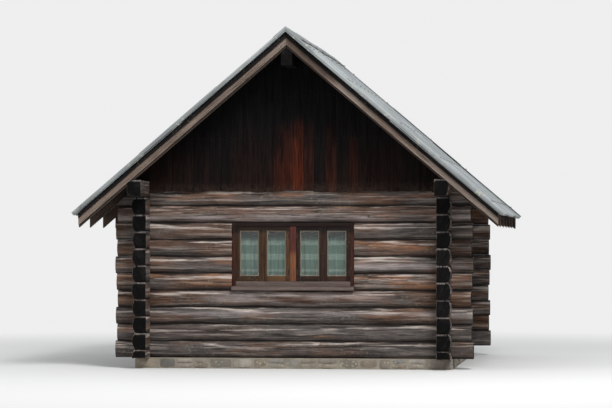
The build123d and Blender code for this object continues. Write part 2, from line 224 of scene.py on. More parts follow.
# %% Grain of wood
tree, given = effect("wood_grain", {"Place": (0, 0, 0), "Width": 1.0, "Cracks": 0.5})
along, across, up = parts_of(given["Place"])
place = vector(along, across / given["Width"], up / given["Width"])
fine = speckle(place * (3.0, 85, 85), detail=5, roughness=0.65, distortion=0.25)
broad = speckle(place * (1.1, 16, 16), detail=3, distortion=0.4)
streak = window(fine * 0.6 + broad * 0.4, 0.34, 0.66)
patch = window(speckle(place * (0.7, 3.2, 3.2), detail=3), 0.36, 0.64)
seam = speckle(place * (0.4, 27, 27), detail=3, roughness=0.45, distortion=0.1)
line = window(abs(seam - 0.5), 0, given["Cracks"] * 0.03, 1, 0, smooth=False)
broken = window(speckle(place * (1.3, 9, 9), detail=1), 0.46, 0.56)
crack = line * broken
fibre = speckle(place * (7, 260, 260), detail=3, roughness=0.7, distortion=0.3)
fibre = window(fibre, 0.32, 0.68)
height = streak * 0.35 + fibre * 0.22 - crack
wood_grain = put_out(tree, {
    "Streak": streak, "Patch": patch, "Crack": crack, "Fibre": fibre, "Height": height})

# %% [markdown]
# Wear is found from how near a point is to the edge of its timber. Dust lies on what looks up, splashed
# earth reaches to the height of a knee, and lichen grows in spots that keep together. All of it is
# worked out from places, so nothing has to be painted.

# %% Wear of the arrises
tree, given = effect("worn_arris", {"Span": (0, 0, 0), "Place": (0, 0, 0), "Reach": 0.14})
across = parts_of(given["Span"])[1]
ragged = speckle(given["Place"] * (6, 30, 30), detail=3)
reach = given["Reach"] * (ragged * 2.0)
worn_arris = put_out(tree, {"Wear": window(1.0 - abs(across), 0, reach, 1, 0, smooth=False)})

# %% Weather
tree, given = effect("weather", {"Lichen": 0.3, "Spot size": 0.05})
where = object_place(tree)
facing_up = parts_of(wire("ShaderNodeNewGeometry", tree=tree, out="Normal"))[2]
high = parts_of(where)[2]
cloudy = speckle(where, scale=7, detail=5)
dust = window(facing_up, 0.25, 0.95) * window(cloudy, 0.3, 0.65)
splash = window(high, 0.9, 0.05) * window(cloudy, 0.3, 0.75)
spots = wire("ShaderNodeTexVoronoi", {"Vector": where, "Scale": 1.0 / given["Spot size"]},
             out="Distance", feature="SMOOTH_F1")
ragged = spots + speckle(where, scale=60) * 0.5
some = window(speckle(where, scale=2.6, detail=2), 0.48, 0.62)
lichen = window(ragged, 0.56, 0.42) * some * given["Lichen"]
weather = put_out(tree, {"Dust": dust, "Splash": splash, "Lichen": lichen})

# %% [markdown]
# ## Where a pattern sits on a timber
#
# Grain has to follow each timber, whichever way it lies. So a timber carries three point attributes:
# `grain` is the place in its own axes, along it first; `span` is the same from -1 to 1; and `tone` holds
# three numbers, such as how grey and how bleached it is. The first and the last also move its grain, so
# that no two show the same streaks.

# %% Start and end of a material
def new_look(name, shine=0.2, **others):
    """A material with a bare shader; the low shine is that of old wood and stone."""
    look = bpy.data.materials.new(name)
    look.use_nodes = True
    tree = look.node_tree
    tree.nodes.clear()
    shader = tree.nodes.new("ShaderNodeBsdfPrincipled")
    output = tree.nodes.new("ShaderNodeOutputMaterial")
    tree.links.new(shader.outputs[0], output.inputs[0])
    for label, value in {"Specular IOR Level": shine, **others}.items():
        shader.inputs[label].default_value = value
    return look, tree


def finish_look(look, colour, roughness, height, depth):
    """Joins a colour, a roughness and a height map of a depth in metres to the shader."""
    bump = wire("ShaderNodeBump", {"Height": height, "Distance": depth, "Strength": 1.0})
    for value, name in ((colour, "Base Color"), (roughness, "Roughness"), (bump, "Normal")):
        bump.tree.links.new(value.socket, bump.tree.nodes["Principled BSDF"].inputs[name])
    print(look.name, "is finished, its relief", depth * 1000, "mm deep")
    return look


def timber_place(tree):
    """The grain place of a timber, moved by its own tone, and its tone and span."""
    tone, span = attribute(tree, "tone"), attribute(tree, "span")
    place = attribute(tree, "grain") + tone * (17, 0, 5)
    return place, tone, span


def fibrous(colour, fibre):
    """A colour that varies a little from fibre to fibre."""
    return blend(1.0, colour, window(fibre, 0, 1, 0.72, 1.22), "MULTIPLY")

# %% [markdown]
# ## Sawn wood
#
# A sawn timber is streaked between a dark and a plain colour. Where the sun reaches it, it has gone pale
# in patches, and its arrises are worn lighter still. The timbers of roof, door and window differ in
# their colours and not in how they age, so one function makes them all.

# %% Material of sawn wood
def painted_shade_above(colour, upper, streak, dark):
    """A painted shade above a height, as under the head of the window."""
    shade, low, high = upper
    where = object_place(colour.tree)
    level = parts_of(where)[2] + speckle(where, scale=9) * 0.06
    return blend(window(level, low, high) * 0.85, colour, blend(streak * 0.5, rgb(*shade), dark))


def darker_right_of_ridge(colour, darkened_span, patch, dark):
    """Darker near the ridge, on the right of it, fading out further along X."""
    along = parts_of(object_place(colour.tree))[0]
    darker_share = window(along, 0, 0.03) * window(along + patch * 0.25, darkened_span[1], darkened_span[0])
    return blend(darker_share * 0.6, colour, dark)


def wood_look(name, colours, lichen=0.1, upper=None, darkened_span=None, shine=0.2):
    """Sawn wood in four colours: dark and plain streaks, pale patches, worn arrises.

    upper is a colour of painted shade and the heights above which it covers a timber. darkened_span is two
    places along X, between which a darkening right of the ridge fades out."""
    look, tree = new_look(name, shine)
    dark, plain, pale, worn = (rgb(*colour) for colour in colours)
    place, tone, span = timber_place(tree)
    shade = parts_of(tone)[0]
    grain = use(tree, wood_grain, {"Place": place, "Width": 1.0, "Cracks": 0.5})
    wear = use(tree, worn_arris, {"Span": span, "Place": place})["Wear"]
    sky = use(tree, weather, {"Lichen": lichen, "Spot size": 0.03})
    colour = blend(grain["Streak"], dark, plain)
    colour = blend(grain["Patch"] * window(shade, 0, 1, 0.15, 0.75), colour, pale)
    colour = blend(wear * 0.55, colour, worn)
    colour = blend(sky["Dust"] * 0.3, colour, worn)
    colour = blend(sky["Lichen"], colour, rgb(150, 152, 132))
    if upper:
        # painted shade on the top of a window member, under the head of the window
        colour = painted_shade_above(colour, upper, grain["Streak"], dark)
    if darkened_span:
        colour = darker_right_of_ridge(colour, darkened_span, grain["Patch"], dark)
    colour = fibrous(colour, grain["Fibre"])
    deep = blend(1.0, colour, (0.25, 0.23, 0.22, 1), "MULTIPLY")
    colour = blend(grain["Crack"], colour, deep)
    roughness = window(grain["Streak"], 0, 1, 0.88, 0.7)
    return finish_look(look, colour, roughness, grain["Height"], depth=0.0022)

# %% The sawn woods
roof_timber = wood_look("roof_timber", [(24, 18, 16), (52, 41, 35), (78, 62, 52), (96, 80, 68)])
boarding_wood = wood_look("boarding_wood", [(30, 23, 19), (66, 51, 41), (94, 76, 61), (98, 84, 72)])
floor_wood = wood_look("floor_wood", [(72, 54, 40), (122, 96, 72), (146, 120, 94), (162, 140, 116)])
barge_wood = wood_look("barge_wood", [(74, 60, 52), (128, 109, 96), (150, 137, 128), (160, 152, 146)], 0.3,
                       darkened_span=(0.45, 0.85))
# near-black ridge beam: painted shade, as its end lies in shadow under the verge
painted_shade_beam_wood = wood_look("painted_shade_beam_wood", [(6, 5, 5), (14, 12, 12), (20, 17, 16), (28, 24, 23)], shine=0.08)
# near-black verge trim: partly its own colour, partly painted shade from the sheets above it
trim_wood = wood_look("trim_wood", [(13, 12, 13), (26, 24, 25), (38, 35, 34), (60, 56, 54)], shine=0.08)
door_wood = wood_look("door_wood", [(44, 28, 20), (88, 58, 40), (112, 80, 58), (128, 104, 84)])
print("sawn woods:", [m.name for m in bpy.data.materials if "wood" in m.name or "timber" in m.name])

# %% [markdown]
# ## The logs' colours
#
# Hewn logs are brown where they are sheltered, cool grey where rain reaches them, orange where an old skin of
# wood has split away, and bleached in strokes. A painted highlight lies on the upper part of each log and
# painted shade on its lower half, and the joints between them are painted almost black, partly dirt and
# partly shade. `span` says how high a point is on its log, so joint and upper edge are found without any
# picture.

# %% Material of the logs
def log_colours(place, grain, tone):
    """Brown and grey streaks, with orange where a skin of wood has split away."""
    shade, _, rust = parts_of(tone)
    brown = blend(grain["Streak"], rgb(56, 40, 32), rgb(104, 78, 63))
    grey = blend(grain["Streak"], rgb(40, 38, 38), rgb(96, 88, 84))
    colour = blend(window(grain["Patch"] * 0.55 + shade * 0.6, 0.3, 0.75), brown, grey)
    split = window(speckle(place * (0.8, 6.5, 6.5), detail=4, roughness=0.6), 0.55, 0.66)
    return blend(split * window(rust, 0.2, 0.9, 0.15, 0.8), colour, rgb(142, 96, 66))


def bleach_and_painted_highlight(colour, place, height, tone):
    """Pale bleached strokes, with more of them on the upper part of the bow as a painted highlight."""
    thin = window(speckle(place * (1.1, 26, 26), detail=5, distortion=0.3), 0.5, 0.64)
    # painted highlight: the pale strokes gather on the upper part of the bow, where light falls on it
    painted_highlight_on_bow = window(height, 0, 0.55) * window(height, 0.98, 0.84)
    colour = blend(thin * (0.28 + painted_highlight_on_bow * 0.6), colour, rgb(188, 175, 166))
    patchy = window(speckle(place * (1.0, 9, 9), detail=4), 0.3, 0.6)
    return blend(parts_of(tone)[1] * patchy, colour, rgb(158, 148, 146))


look, tree = new_look("hewn_log")
place, tone, span = timber_place(tree)
uneven = window(speckle(place * (1.3, 0, 0), detail=3), 0.3, 0.7, -0.14, 0.14)
height = parts_of(span)[2] + uneven
grain = use(tree, wood_grain, {"Place": place, "Width": 1.6, "Cracks": 0.8})
colour = bleach_and_painted_highlight(log_colours(place, grain, tone), place, height, tone)
sky = use(tree, weather, {"Lichen": 0.25, "Spot size": 0.04})
colour = blend(sky["Dust"] * 0.35, colour, rgb(140, 130, 122))
colour = blend(sky["Splash"] * 0.5, colour, rgb(64, 60, 58))
colour = blend(sky["Lichen"], colour, rgb(140, 142, 124))
colour = fibrous(colour, grain["Fibre"])
# painted shade: the lower half of each log is darkened as if out of the light
colour = blend(window(height, -0.35, -0.9) * 0.6, colour, rgb(40, 33, 30))
# the joints painted almost black, partly dirt and partly painted shade
colour = blend(window(abs(height), 0.8, 0.96) * 0.9, colour, rgb(26, 22, 21))
colour = blend(grain["Crack"] * 0.85, colour, rgb(26, 22, 20))
relief = grain["Height"] + speckle(place * (9, 22, 22), detail=3) * 0.9
hewn_log = finish_look(look, colour, window(grain["Streak"], 0, 1, 0.92, 0.74), relief, depth=0.005)

# %% [markdown]
# The sawn end of a log shows its rings, and cracks that run out from the pith. End grain is dark, and here it
# is painted nearly black with painted shade in it; its upper rim is a pale painted highlight. The rings are a
# sine of the distance from the pith.

# %% Material of the log ends
look, tree = new_look("log_end_grain", shine=0.08)
tone = attribute(tree, "tone")
_, across, height = parts_of(attribute(tree, "grain"))
flat = vector(0.0, across + 0.06, height)
phase = length_of(flat) * 900 + speckle(flat, scale=9, detail=2) * 25
rings = window(phase.sine(), -1, 1)
outwards = wire("ShaderNodeVectorMath", {0: flat}, operation="NORMALIZE")
split = abs(speckle(outwards + tone, scale=5, detail=2) - 0.5)
crack = window(split, 0.022, 0.006)
blotch = speckle(object_place(tree), scale=11, detail=4)
# near-black end grain: its own dark colour with painted shade in it
colour = blend(rings, rgb(4, 4, 5), rgb(15, 13, 14))
colour = blend(window(blotch, 0.5, 0.72, 0, 0.3), colour, rgb(42, 37, 35))
# painted highlight: the upper rim of each log end is lit pale
painted_highlight_on_rim = window(height, 0.184, 0.206) * window(blotch, 0.4, 0.6, 0.35, 0.9)
colour = blend(painted_highlight_on_rim.or_more(parts_of(tone)[1] * 0.15), colour, rgb(132, 124, 120))
colour = blend(crack, colour, rgb(12, 11, 11))
roughness = window(blotch, 0.3, 0.7, 0.95, 0.8)
log_end = finish_look(look, colour, roughness, rings * 0.25 - crack, depth=0.004)


# %% [markdown]
# ## Gathering many parts in one mesh
#
# A wall has dozens of logs and a roof dozens of boards. Each is worked out by itself and added to a
# heap, which becomes one mesh with its attributes, so that Blender handles one object and not fifty. The
# finished piece stands for its solid and rides on the cabin's one body.

# %% The heap
def plain_mesh(name, points, faces=()):
    mesh = bpy.data.meshes.new(name)
    mesh.from_pydata([tuple(p) for p in points], [], faces)
    return mesh


class Heap:
    """Points, faces and attributes of the parts of one piece."""

    def __init__(self):
        self.points, self.faces, self.slots = [], [], []
        self.grain, self.span, self.tone = [], [], []

    def put(self, point, grain, span, tone):
        """Adds one point with its attributes."""
        self.points.append(point)
        self.grain.append(grain)
        self.span.append(span)
        self.tone.append(tone)

    def add(self, points, faces, grain, span, tone, slots=None):
        """Adds a part; its tone is one for all points or a list."""
        first = len(self.points)
        self.points.extend(tuple(p) for p in points)
        self.faces.extend(tuple(first + i for i in face) for face in faces)
        self.slots.extend(slots or [0] * len(faces))
        self.grain.extend(grain)
        self.span.extend(span)
        self.tone.extend([tone] * len(points) if isinstance(tone, tuple) else tone)

    def mesh(self, name):
        made = plain_mesh(name, self.points, self.faces)
        for label, values in (("grain", self.grain), ("span", self.span), ("tone", self.tone)):
            layer = made.attributes.new(label, "FLOAT_VECTOR", "POINT")
            layer.data.foreach_set("vector", np.array(values, np.float32).ravel())
        made.polygons.foreach_set("material_index", self.slots)
        made.polygons.foreach_set("use_smooth", [True] * len(made.polygons))
        made.set_sharp_from_angle(angle=SHARP)
        return made


SHARP = radians(38)
print("edges sharper than", round(SHARP, 2), "radians stay crisp")

# %% A finished piece
def placed(name, data):
    """A new object in the scene that holds a mesh, a lamp or a camera."""
    made = bpy.data.objects.new(name, data)
    scene.collection.objects.link(made)
    return made


def show(name, made, slot, *looks, node=None):
    """Puts a heap or mesh in the scene as a piece, which may stand for a node."""
    mesh = made.mesh(name) if isinstance(made, Heap) else made
    for look in looks:
        if mesh.materials.find(look.name) < 0:
            mesh.materials.append(look)
    piece = placed(name, mesh)
    if node:
        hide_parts(node)
    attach(piece, "root")
    mesh.calc_loop_triangles()
    print(f"{name}: {len(mesh.loop_triangles)} triangles")
    return piece


def volume(points, faces):
    """Volume of a closed mesh, above zero when its faces point outwards."""
    total = 0.0
    for face in faces:
        a = Vector(points[face[0]])
        for second, third in zip(face[1:-1], face[2:]):
            total += a.dot(Vector(points[second]).cross(Vector(points[third])))
    return total / 6

# %% [markdown]
# ## The log walls
#
# The builders squared each log with an axe on its inner side and left its outer side bowed. At the
# corners every log has a saddle cut in its underside that drops over the log crossing beneath it, and
# its tail stands out past the corner. A boolean could cut the saddles, but a log is easier as a row of
# sections: at each station the foot of the section rises to the top of whatever log lies under it.

# %% Sections and stations of a log
BOW_START = HALF_LOG - LOG_BOW  # where the outer face leaves the level top
HALF_COURSE = COURSE / 2  # crossing walls lie half a course apart
SECTION = ([("foot", f) for f in (0.04, 0.35, 0.65, 0.96)]
           + [("bow", f) for f in (0, 0.04, 0.1, 0.19, 0.3, 0.42, 0.54, 0.66, 0.78, 0.88, 0.95, 1)]
           + [("top", f) for f in (0.96, 0.65, 0.35, 0.04)]
           + [("inside", f) for f in (0.97, 0.75, 0.5, 0.25, 0.03)])
SADDLE_STATIONS = (-0.0925, -HALF_LOG, BOW_START, 0.072, 0.083, 0.09, HALF_LOG)
NEAR_END = 0.006  # a station close to each sawn end


def bow_at(up):
    """Outer face of a log, from its centre line, at a height above its foot."""
    return HALF_LOG - BOW_RADIUS + sqrt(BOW_RADIUS ** 2 - (up - LOG_HEIGHT / 2) ** 2)


def saddle(distance):
    """How high the crossing log reaches, at a distance from its centre line."""
    if -HALF_LOG <= distance <= BOW_START:
        return LOG_HEIGHT - HALF_COURSE
    if BOW_START < distance <= HALF_LOG:
        drop = sqrt(max(0.0, BOW_RADIUS ** 2 - (distance - HALF_LOG + BOW_RADIUS) ** 2))
        return LOG_HEIGHT / 2 + drop - HALF_COURSE
    return 0.0


def stations(start, end, crossings, spacing=0.04):
    """Places along a log: even ones, and close ones at the sides of each saddle."""
    places = list(np.linspace(start, end, max(3, round((end - start) / spacing) + 1)))
    for middle, outwards in crossings:
        places += [middle + outwards * distance for distance in SADDLE_STATIONS]
    places += [start + NEAR_END, end - NEAR_END]
    return np.unique(np.round([p for p in places if start <= p <= end], 4))


print("points round a log:", len(SECTION))

# %% [markdown]
# An axe leaves its marks in three sizes on the trunk's own long swells: shallow cuts, flat facets where
# it struck, and small chips. Along the upper and lower edge wood has torn away. Each is a noise of its
# own length; the facets are one that jumps from cell to cell.

# %% The hewn face
SWELL, AXE_CUT, FACET, CHIP, TORN_EDGE = 0.006, 0.004, 0.003, 0.0015, 0.011
LEVEL_FACE = 0.004  # unevenness of the top and foot
INNER_FACE = 0.003
END_WEAR = 0.004  # how much a sawn end is rounded off


def hewn(along, up, seed, share):
    """How far an axe-hewn face stands out or in at a point."""
    swell = SWELL * noise.noise(Vector((along * 1.1, up * 3, seed)))
    cuts = AXE_CUT * noise.noise(Vector((along * 5.5, up * 12, seed + 40)))
    facets = FACET * noise.cell(Vector((along * 3.1 + seed, up * 14, seed)))
    chips = CHIP * noise.noise(Vector((along * 26, up * 60, seed + 80)))
    edge = abs(2 * share - 1) ** 5
    ragged = 0.5 + noise.noise(Vector((along * 3.5, seed + round(share) * 9, 3)))
    return swell + cuts + facets + chips - TORN_EDGE * edge * ragged


def section_at(place, floor_at, ceiling, seed, worn):
    """Points round a log at one station: kind, share, distance outwards, height above the foot."""
    for kind, share in SECTION:
        jog = 0.5 + 0.5 * noise.noise(Vector((place * 4, seed, share * 3)))
        level = floor_at + share * (ceiling - floor_at)
        across = -HALF_LOG + 0.004 + share * (2 * HALF_LOG - LOG_BOW - 0.008)
        if kind == "bow":
            yield kind, share, bow_at(level) + hewn(place, level, seed, share) - worn, level
        elif kind == "inside":
            yield kind, share, -HALF_LOG + INNER_FACE * jog + worn, level
        elif kind == "foot":
            yield kind, share, across, floor_at + LEVEL_FACE * jog + worn
        else:
            yield kind, share, across, ceiling - (LEVEL_FACE + 0.001) * jog - worn


print("an axe cut is up to", AXE_CUT * 1000, "mm deep")

# %% [markdown]
# A log is one ring of points at each station, joined by faces to the next ring. Its ends are closed by
# smaller rings, which give the end grain points enough for its shading. The bark side may be on either
# hand, so a log that comes out turned has its faces reversed, and its volume is measured to prove that
# all point outwards.

# %% One hewn log
END_RING = 0.55  # size of the inner ring of a log's end


def close_end(log, row, flip):
    """Closes an end of a log by rings of faces round its middle."""
    count = len(SECTION)
    ring = range(row * count, (row + 1) * count)
    middle = sum((log.points[i] for i in ring), Vector()) / count
    first = len(log.points)
    for share in (1.0, END_RING):
        lift = (0, 0, (1 - share) * LOG_HEIGHT / 2)
        for i in ring:
            grain = tuple(np.array(log.grain[i]) * (1, share, share) + lift)
            log.put(middle + (log.points[i] - middle) * share, grain, log.span[i], log.tone[i])
    log.put(middle, (0, 0, LOG_HEIGHT / 2), (1, 0, 0), log.tone[ring[0]])
    for i in range(count):
        j = (i + 1) % count
        quad = (first + i, first + j, first + count + j, first + count + i)
        tip = (first + count + i, first + count + j, first + 2 * count)
        log.faces += [quad[::-1], tip[::-1]] if flip else [quad, tip]
        log.slots += [1, 1]


def hewn_log_part(heap, axes, centre, foot, ends, crossings, seed, tone, low=0.0, roof=None):
    """Adds a log; axes point along and outwards, roof limits its top and low its foot."""
    along_axis, out_axis = axes
    places = stations(*ends, crossings)
    count = len(SECTION)
    log = Heap()
    for place in places:
        floor_at = max([low] + [saddle((place - middle) * outwards) for middle, outwards in crossings])
        ceiling = LOG_HEIGHT if roof is None else min(LOG_HEIGHT, roof(place) - foot)
        worn = END_WEAR if place in (places[0], places[-1]) else 0.0
        for kind, share, out, up in section_at(place, floor_at, ceiling, seed, worn):
            point = along_axis * place + out_axis * (centre + out) + Vector((0, 0, foot + up))
            span = (place / 2.6, out / HALF_LOG, 2 * up / LOG_HEIGHT - 1)
            log.put(point, (place, out, up), span, tone(place, share if kind == "bow" else 0.5))
    for row in range(len(places) - 1):
        for i in range(count):
            a, b = row * count + i, row * count + (i + 1) % count
            log.faces.append((a, b, b + count, a + count))
            log.slots.append(0)
    close_end(log, 0, flip=True)
    close_end(log, len(places) - 1, flip=False)
    if along_axis.cross(out_axis).z < 0:
        log.faces = [face[::-1] for face in log.faces]
    heap.add(log.points, log.faces, log.grain, log.span, log.tone, log.slots)
    return volume(log.points, log.faces)


print("inner ring of a log's end:", END_RING, "of its size")

# %% [markdown]
# Each log gets its own tone: how grey it is, how bleached, how rusty. In the front wall three logs have
# a pale streak, one of them over the window, and the log under the window is bleached lilac-grey by the
# rain that drips off the sill.

# %% Tones of the logs
UNDER_WINDOW, OVER_WINDOW = 3, 8  # courses, counted from 0 at the foot
GREY_LOGS = (0.75, 0.95, 0.55, 0.5, 0.35, 0.4, 0.45, 0.35, 0.2, 0.35)
RUSTY_LOGS = (0.3, 0.6, 0.35, 0.4, 0.75, 0.5, 0.6, 0.55, 0.9, 0.5)


def front_tone(row):
    """Tone of a front log along its length: how grey, how bleached, how rusty."""
    def streak(share, strength, middle, narrow):
        return strength * max(0.0, 1 - abs(share - middle) * narrow)

    def tone(place, share):
        bleach = 0.05
        if row == OVER_WINDOW:
            bleach = streak(share, 0.75, 0.3, 4) + 0.1
        if row == 2:
            bleach = streak(share, 0.65, 0.62, 5)
        if row == 5 and place > 0.7:
            bleach = streak(share, 0.8, 0.4, 3.5)
        if row == UNDER_WINDOW:
            bleach = 0.75 * max(0.0, 1 - max(0.0, abs(place) - 0.7) * 1.6) * (0.45 + 0.55 * share)
        return (GREY_LOGS[row], bleach, RUSTY_LOGS[row])
    return tone


def plain_tone(seed):
    """Tone of a log in the other walls."""
    grey, bleach, rust = (0.5 + 0.5 * noise.noise(Vector((seed * 3.7, k, 1.3))) for k in (2, 5, 8))
    return lambda place, share: (grey, 0.3 * max(0.0, bleach - 0.35), rust)


print("greyest front log is course", GREY_LOGS.index(max(GREY_LOGS)) + 1)

# %% [markdown]
# The front and back walls start on a whole log, the side walls on a half one, so their logs lie half a
# course higher, and a saddle need only be half a log deep. The top log of a gable wall is trimmed under
# the rafters. The side walls' top logs, the wall plates, run on under both verges and carry them.

# %% The four log walls and the two wall plates
X_AXIS, Y_AXIS = Vector(ACROSS), Vector(BACKWARD)
SIDE_CROSSINGS = [(-WALL_X, -1), (WALL_X, 1)]
CROSS_CROSSINGS = [(FRONT_Y, -1), (BACK_Y, 1)]
LOG_TAIL = 0.27  # log left standing out past the crossing wall
TAIL_SPREAD = 0.032  # how uneven those tails are
PLATE_END = 2.6085  # middle of the roof to the end of a wall plate
FRONT_SEED, BACK_SEED, LEFT_SEED, RIGHT_SEED = 3, 33, 90, 60


def reach_of(row):
    """How far a log stands out past the wall it crosses."""
    return HALF_LOG + LOG_TAIL - TAIL_SPREAD * (row * 3 % 5) / 4


def under_rafters(x):
    """Height of the rafters' underside across the cabin, less a joint."""
    return DECK_RIDGE - abs(x) * RISE - (UNDER_RAFTERS + SEAM) / LEAN


def cross_wall(node, y, rows, start=None, end=None):
    """Logs of the front or back wall. start or end stop them at a window or door."""
    heap, sizes = Heap(), [1.0]
    in_front = y < 0
    axes = (X_AXIS, Y_AXIS * (-1 if in_front else 1))
    for row in rows:
        reach = WALL_X + reach_of(row)
        ends = (-reach if start is None else start, reach if end is None else end)
        tone = front_tone(row) if in_front else plain_tone(row + 20)
        sizes.append(hewn_log_part(
            heap, axes, abs(y), FOOTING + row * COURSE, ends, SIDE_CROSSINGS,
            row + (FRONT_SEED if in_front else BACK_SEED), tone,
            roof=under_rafters if row == COURSES - 1 else None))
    show(node + "_hewn", heap, "wall_logs", hewn_log, log_end, node=node)
    return min(sizes)


def side_wall(side, rows, node):
    """Logs of a side wall; row -1 is the half log."""
    heap, sizes = Heap(), [1.0]
    for row in rows:
        half_log, plate = row < 0, row == COURSES - 1
        reach = reach_of(0 if half_log else row + 2)
        ends = (-PLATE_END, PLATE_END) if plate else (FRONT_Y - reach, BACK_Y + reach)
        seed = row + (RIGHT_SEED if side > 0 else LEFT_SEED)
        sizes.append(hewn_log_part(
            heap, (Y_AXIS, X_AXIS * side), WALL_X, FOOTING + (row + 0.5) * COURSE, ends,
            [] if half_log else CROSS_CROSSINGS, seed, plain_tone(seed), HALF_COURSE if half_log else 0.0))
    show(node + "_hewn", heap, "wall_logs", hewn_log, log_end, node=node)
    return min(sizes)


print("longest tail of a log", round(max(reach_of(row) for row in range(COURSES)), 3))

# %% Raise the walls
WINDOW_X, DOOR_X = 0.79, 0.48  # half the widths of the two openings
smallest = min([
    cross_wall("front_logs_low", FRONT_Y, range(4)),
    cross_wall("front_logs_left_of_window", FRONT_Y, range(4, 8), end=-WINDOW_X),
    cross_wall("front_logs_right_of_window", FRONT_Y, range(4, 8), start=WINDOW_X),
    cross_wall("front_logs_high", FRONT_Y, range(8, COURSES)),
    cross_wall("back_logs_low", BACK_Y, range(1)),
    cross_wall("back_logs_left_of_door", BACK_Y, range(1, 9), end=-DOOR_X),
    cross_wall("back_logs_right_of_door", BACK_Y, range(1, 9), start=DOOR_X),
    cross_wall("back_log_high", BACK_Y, range(9, COURSES)),
    side_wall(-1, range(-1, 9), "left_wall_logs"),
    side_wall(1, range(-1, 9), "right_wall_logs"),
    side_wall(-1, range(9, COURSES), "left_wall_plate"),
    side_wall(1, range(9, COURSES), "right_wall_plate"),
])
print("smallest log, in cubic metres, above zero if all face outwards:", round(smallest, 4))


# %% [markdown]
# ## Sawn timbers cut from the solids
#
# Boards, posts, rafters and frames are straight, and their solids already have their cuts: the plumb
# ends of the rafters, the slope at the head of the gable boards. So each timber is clipped out of its
# solid by planes, which keeps all those cuts where the carpenter would make them.

# %% Clipping a solid
def whole_faces(node):
    """A copy of a node whose loose triangles are joined to flat faces again."""
    form = bmesh.new()
    form.from_mesh(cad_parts[node].data)
    bmesh.ops.remove_doubles(form, verts=form.verts, dist=1e-5)
    bmesh.ops.dissolve_limit(form, angle_limit=radians(1), verts=form.verts, edges=form.edges)
    return form


def cut(form, point, normal, clear=True):
    """Cuts a form at a plane; clear takes away what lies beyond and closes the cut."""
    everything = form.verts[:] + form.edges[:] + form.faces[:]
    made = bmesh.ops.bisect_plane(form, geom=everything, plane_co=point, plane_no=normal, clear_outer=clear)
    rim = [e for e in made["geom_cut"] if isinstance(e, bmesh.types.BMEdge) and e.is_boundary]
    if clear and rim:
        bmesh.ops.holes_fill(form, edges=rim, sides=0)


def clipped(form, planes):
    """A copy of a form without what lies beyond some planes, each a point and a normal."""
    part = form.copy()
    for point, normal in planes:
        cut(part, point, normal)
    return part


OPEN = (None, None, None)


def between(form, low, high):
    """The part of a form inside a box; None leaves a side open."""
    planes = []
    for axis, direction in enumerate((ACROSS, BACKWARD, UP)):
        for limit, sense in ((low[axis], -1), (high[axis], 1)):
            if limit is not None:
                planes.append((Vector(direction) * limit, Vector(direction) * sense))
    return clipped(form, planes)

# %% [markdown]
# One node may hold several timbers. They are told apart by walking from point to point along the edges.
# Blender hands out points in an order that changes from run to run, so whatever depends on an order is
# sorted by place first: only then do all runs give the same cabin.

# %% Separate timbers, in a fixed order
def joined_groups(form):
    """Lists of the points that hang together."""
    groups, seen = [], set()
    for start in form.verts:
        if start.index in seen:
            continue
        seen.add(start.index)
        group, rim = [], [start]
        while rim:
            vert = rim.pop()
            group.append(vert)
            near = [e.other_vert(vert) for e in vert.link_edges]
            near = [v for v in near if v.index not in seen]
            seen.update(v.index for v in near)
            rim += near
        groups.append(group)
    return groups


def islands(form):
    """The separate solids of a form, from left to right and front to back."""
    form.verts.index_update()
    groups = joined_groups(form)
    groups.sort(key=lambda group: tuple(min(round(v.co[axis], 4) for v in group) for axis in range(3)))
    for group in groups:
        keep = {v.index for v in group}
        alone = form.copy()
        alone.verts.index_update()
        bmesh.ops.delete(alone, geom=[v for v in alone.verts if v.index not in keep], context="VERTS")
        yield alone


def in_order(form):
    """Points and faces of a form, in the same order at every run."""
    verts = sorted(form.verts, key=lambda v: tuple(round(c, 5) for c in v.co))
    number = {vert: place for place, vert in enumerate(verts)}
    faces = []
    for face in form.faces:
        ring = [number[v] for v in face.verts]
        turn = ring.index(min(ring))
        faces.append(tuple(ring[turn:] + ring[:turn]))
    return verts, sorted(faces)


print("rafters on the left:", len(list(islands(whole_faces("rafters_left")))))

# %% [markdown]
# No real board has a razor edge or is quite straight, so each timber gets bevelled arrises, and noise
# makes it a little crooked. Its grain runs along a given direction, and the wider of its other sides
# counts as its face.

# %% Dressing a timber
def timber_axes(along):
    """Directions of a timber: along it, level across it, and square to both."""
    along = Vector(along).normalized()
    side = Vector(ACROSS) if abs(along.z) > 0.9 else Vector(UP).cross(along).normalized()
    return along, side, along.cross(side)


def crooked(place, seed, wobble):
    """How far a point of a timber is moved off its straight line."""
    a, b, c = place
    shift = (noise.noise(Vector((a * 1.7, seed, b * 3))),
             noise.noise(Vector((a * 1.7, seed + 9, c * 3))),
             noise.noise(Vector((a * 1.3, seed + 5, b * 2))))
    return Vector(shift) * wobble


def bevelled(form, edges, width):
    bmesh.ops.bevel(form, geom=edges, offset=width, segments=2, profile=0.6, affect="EDGES",
                    clamp_overlap=True)


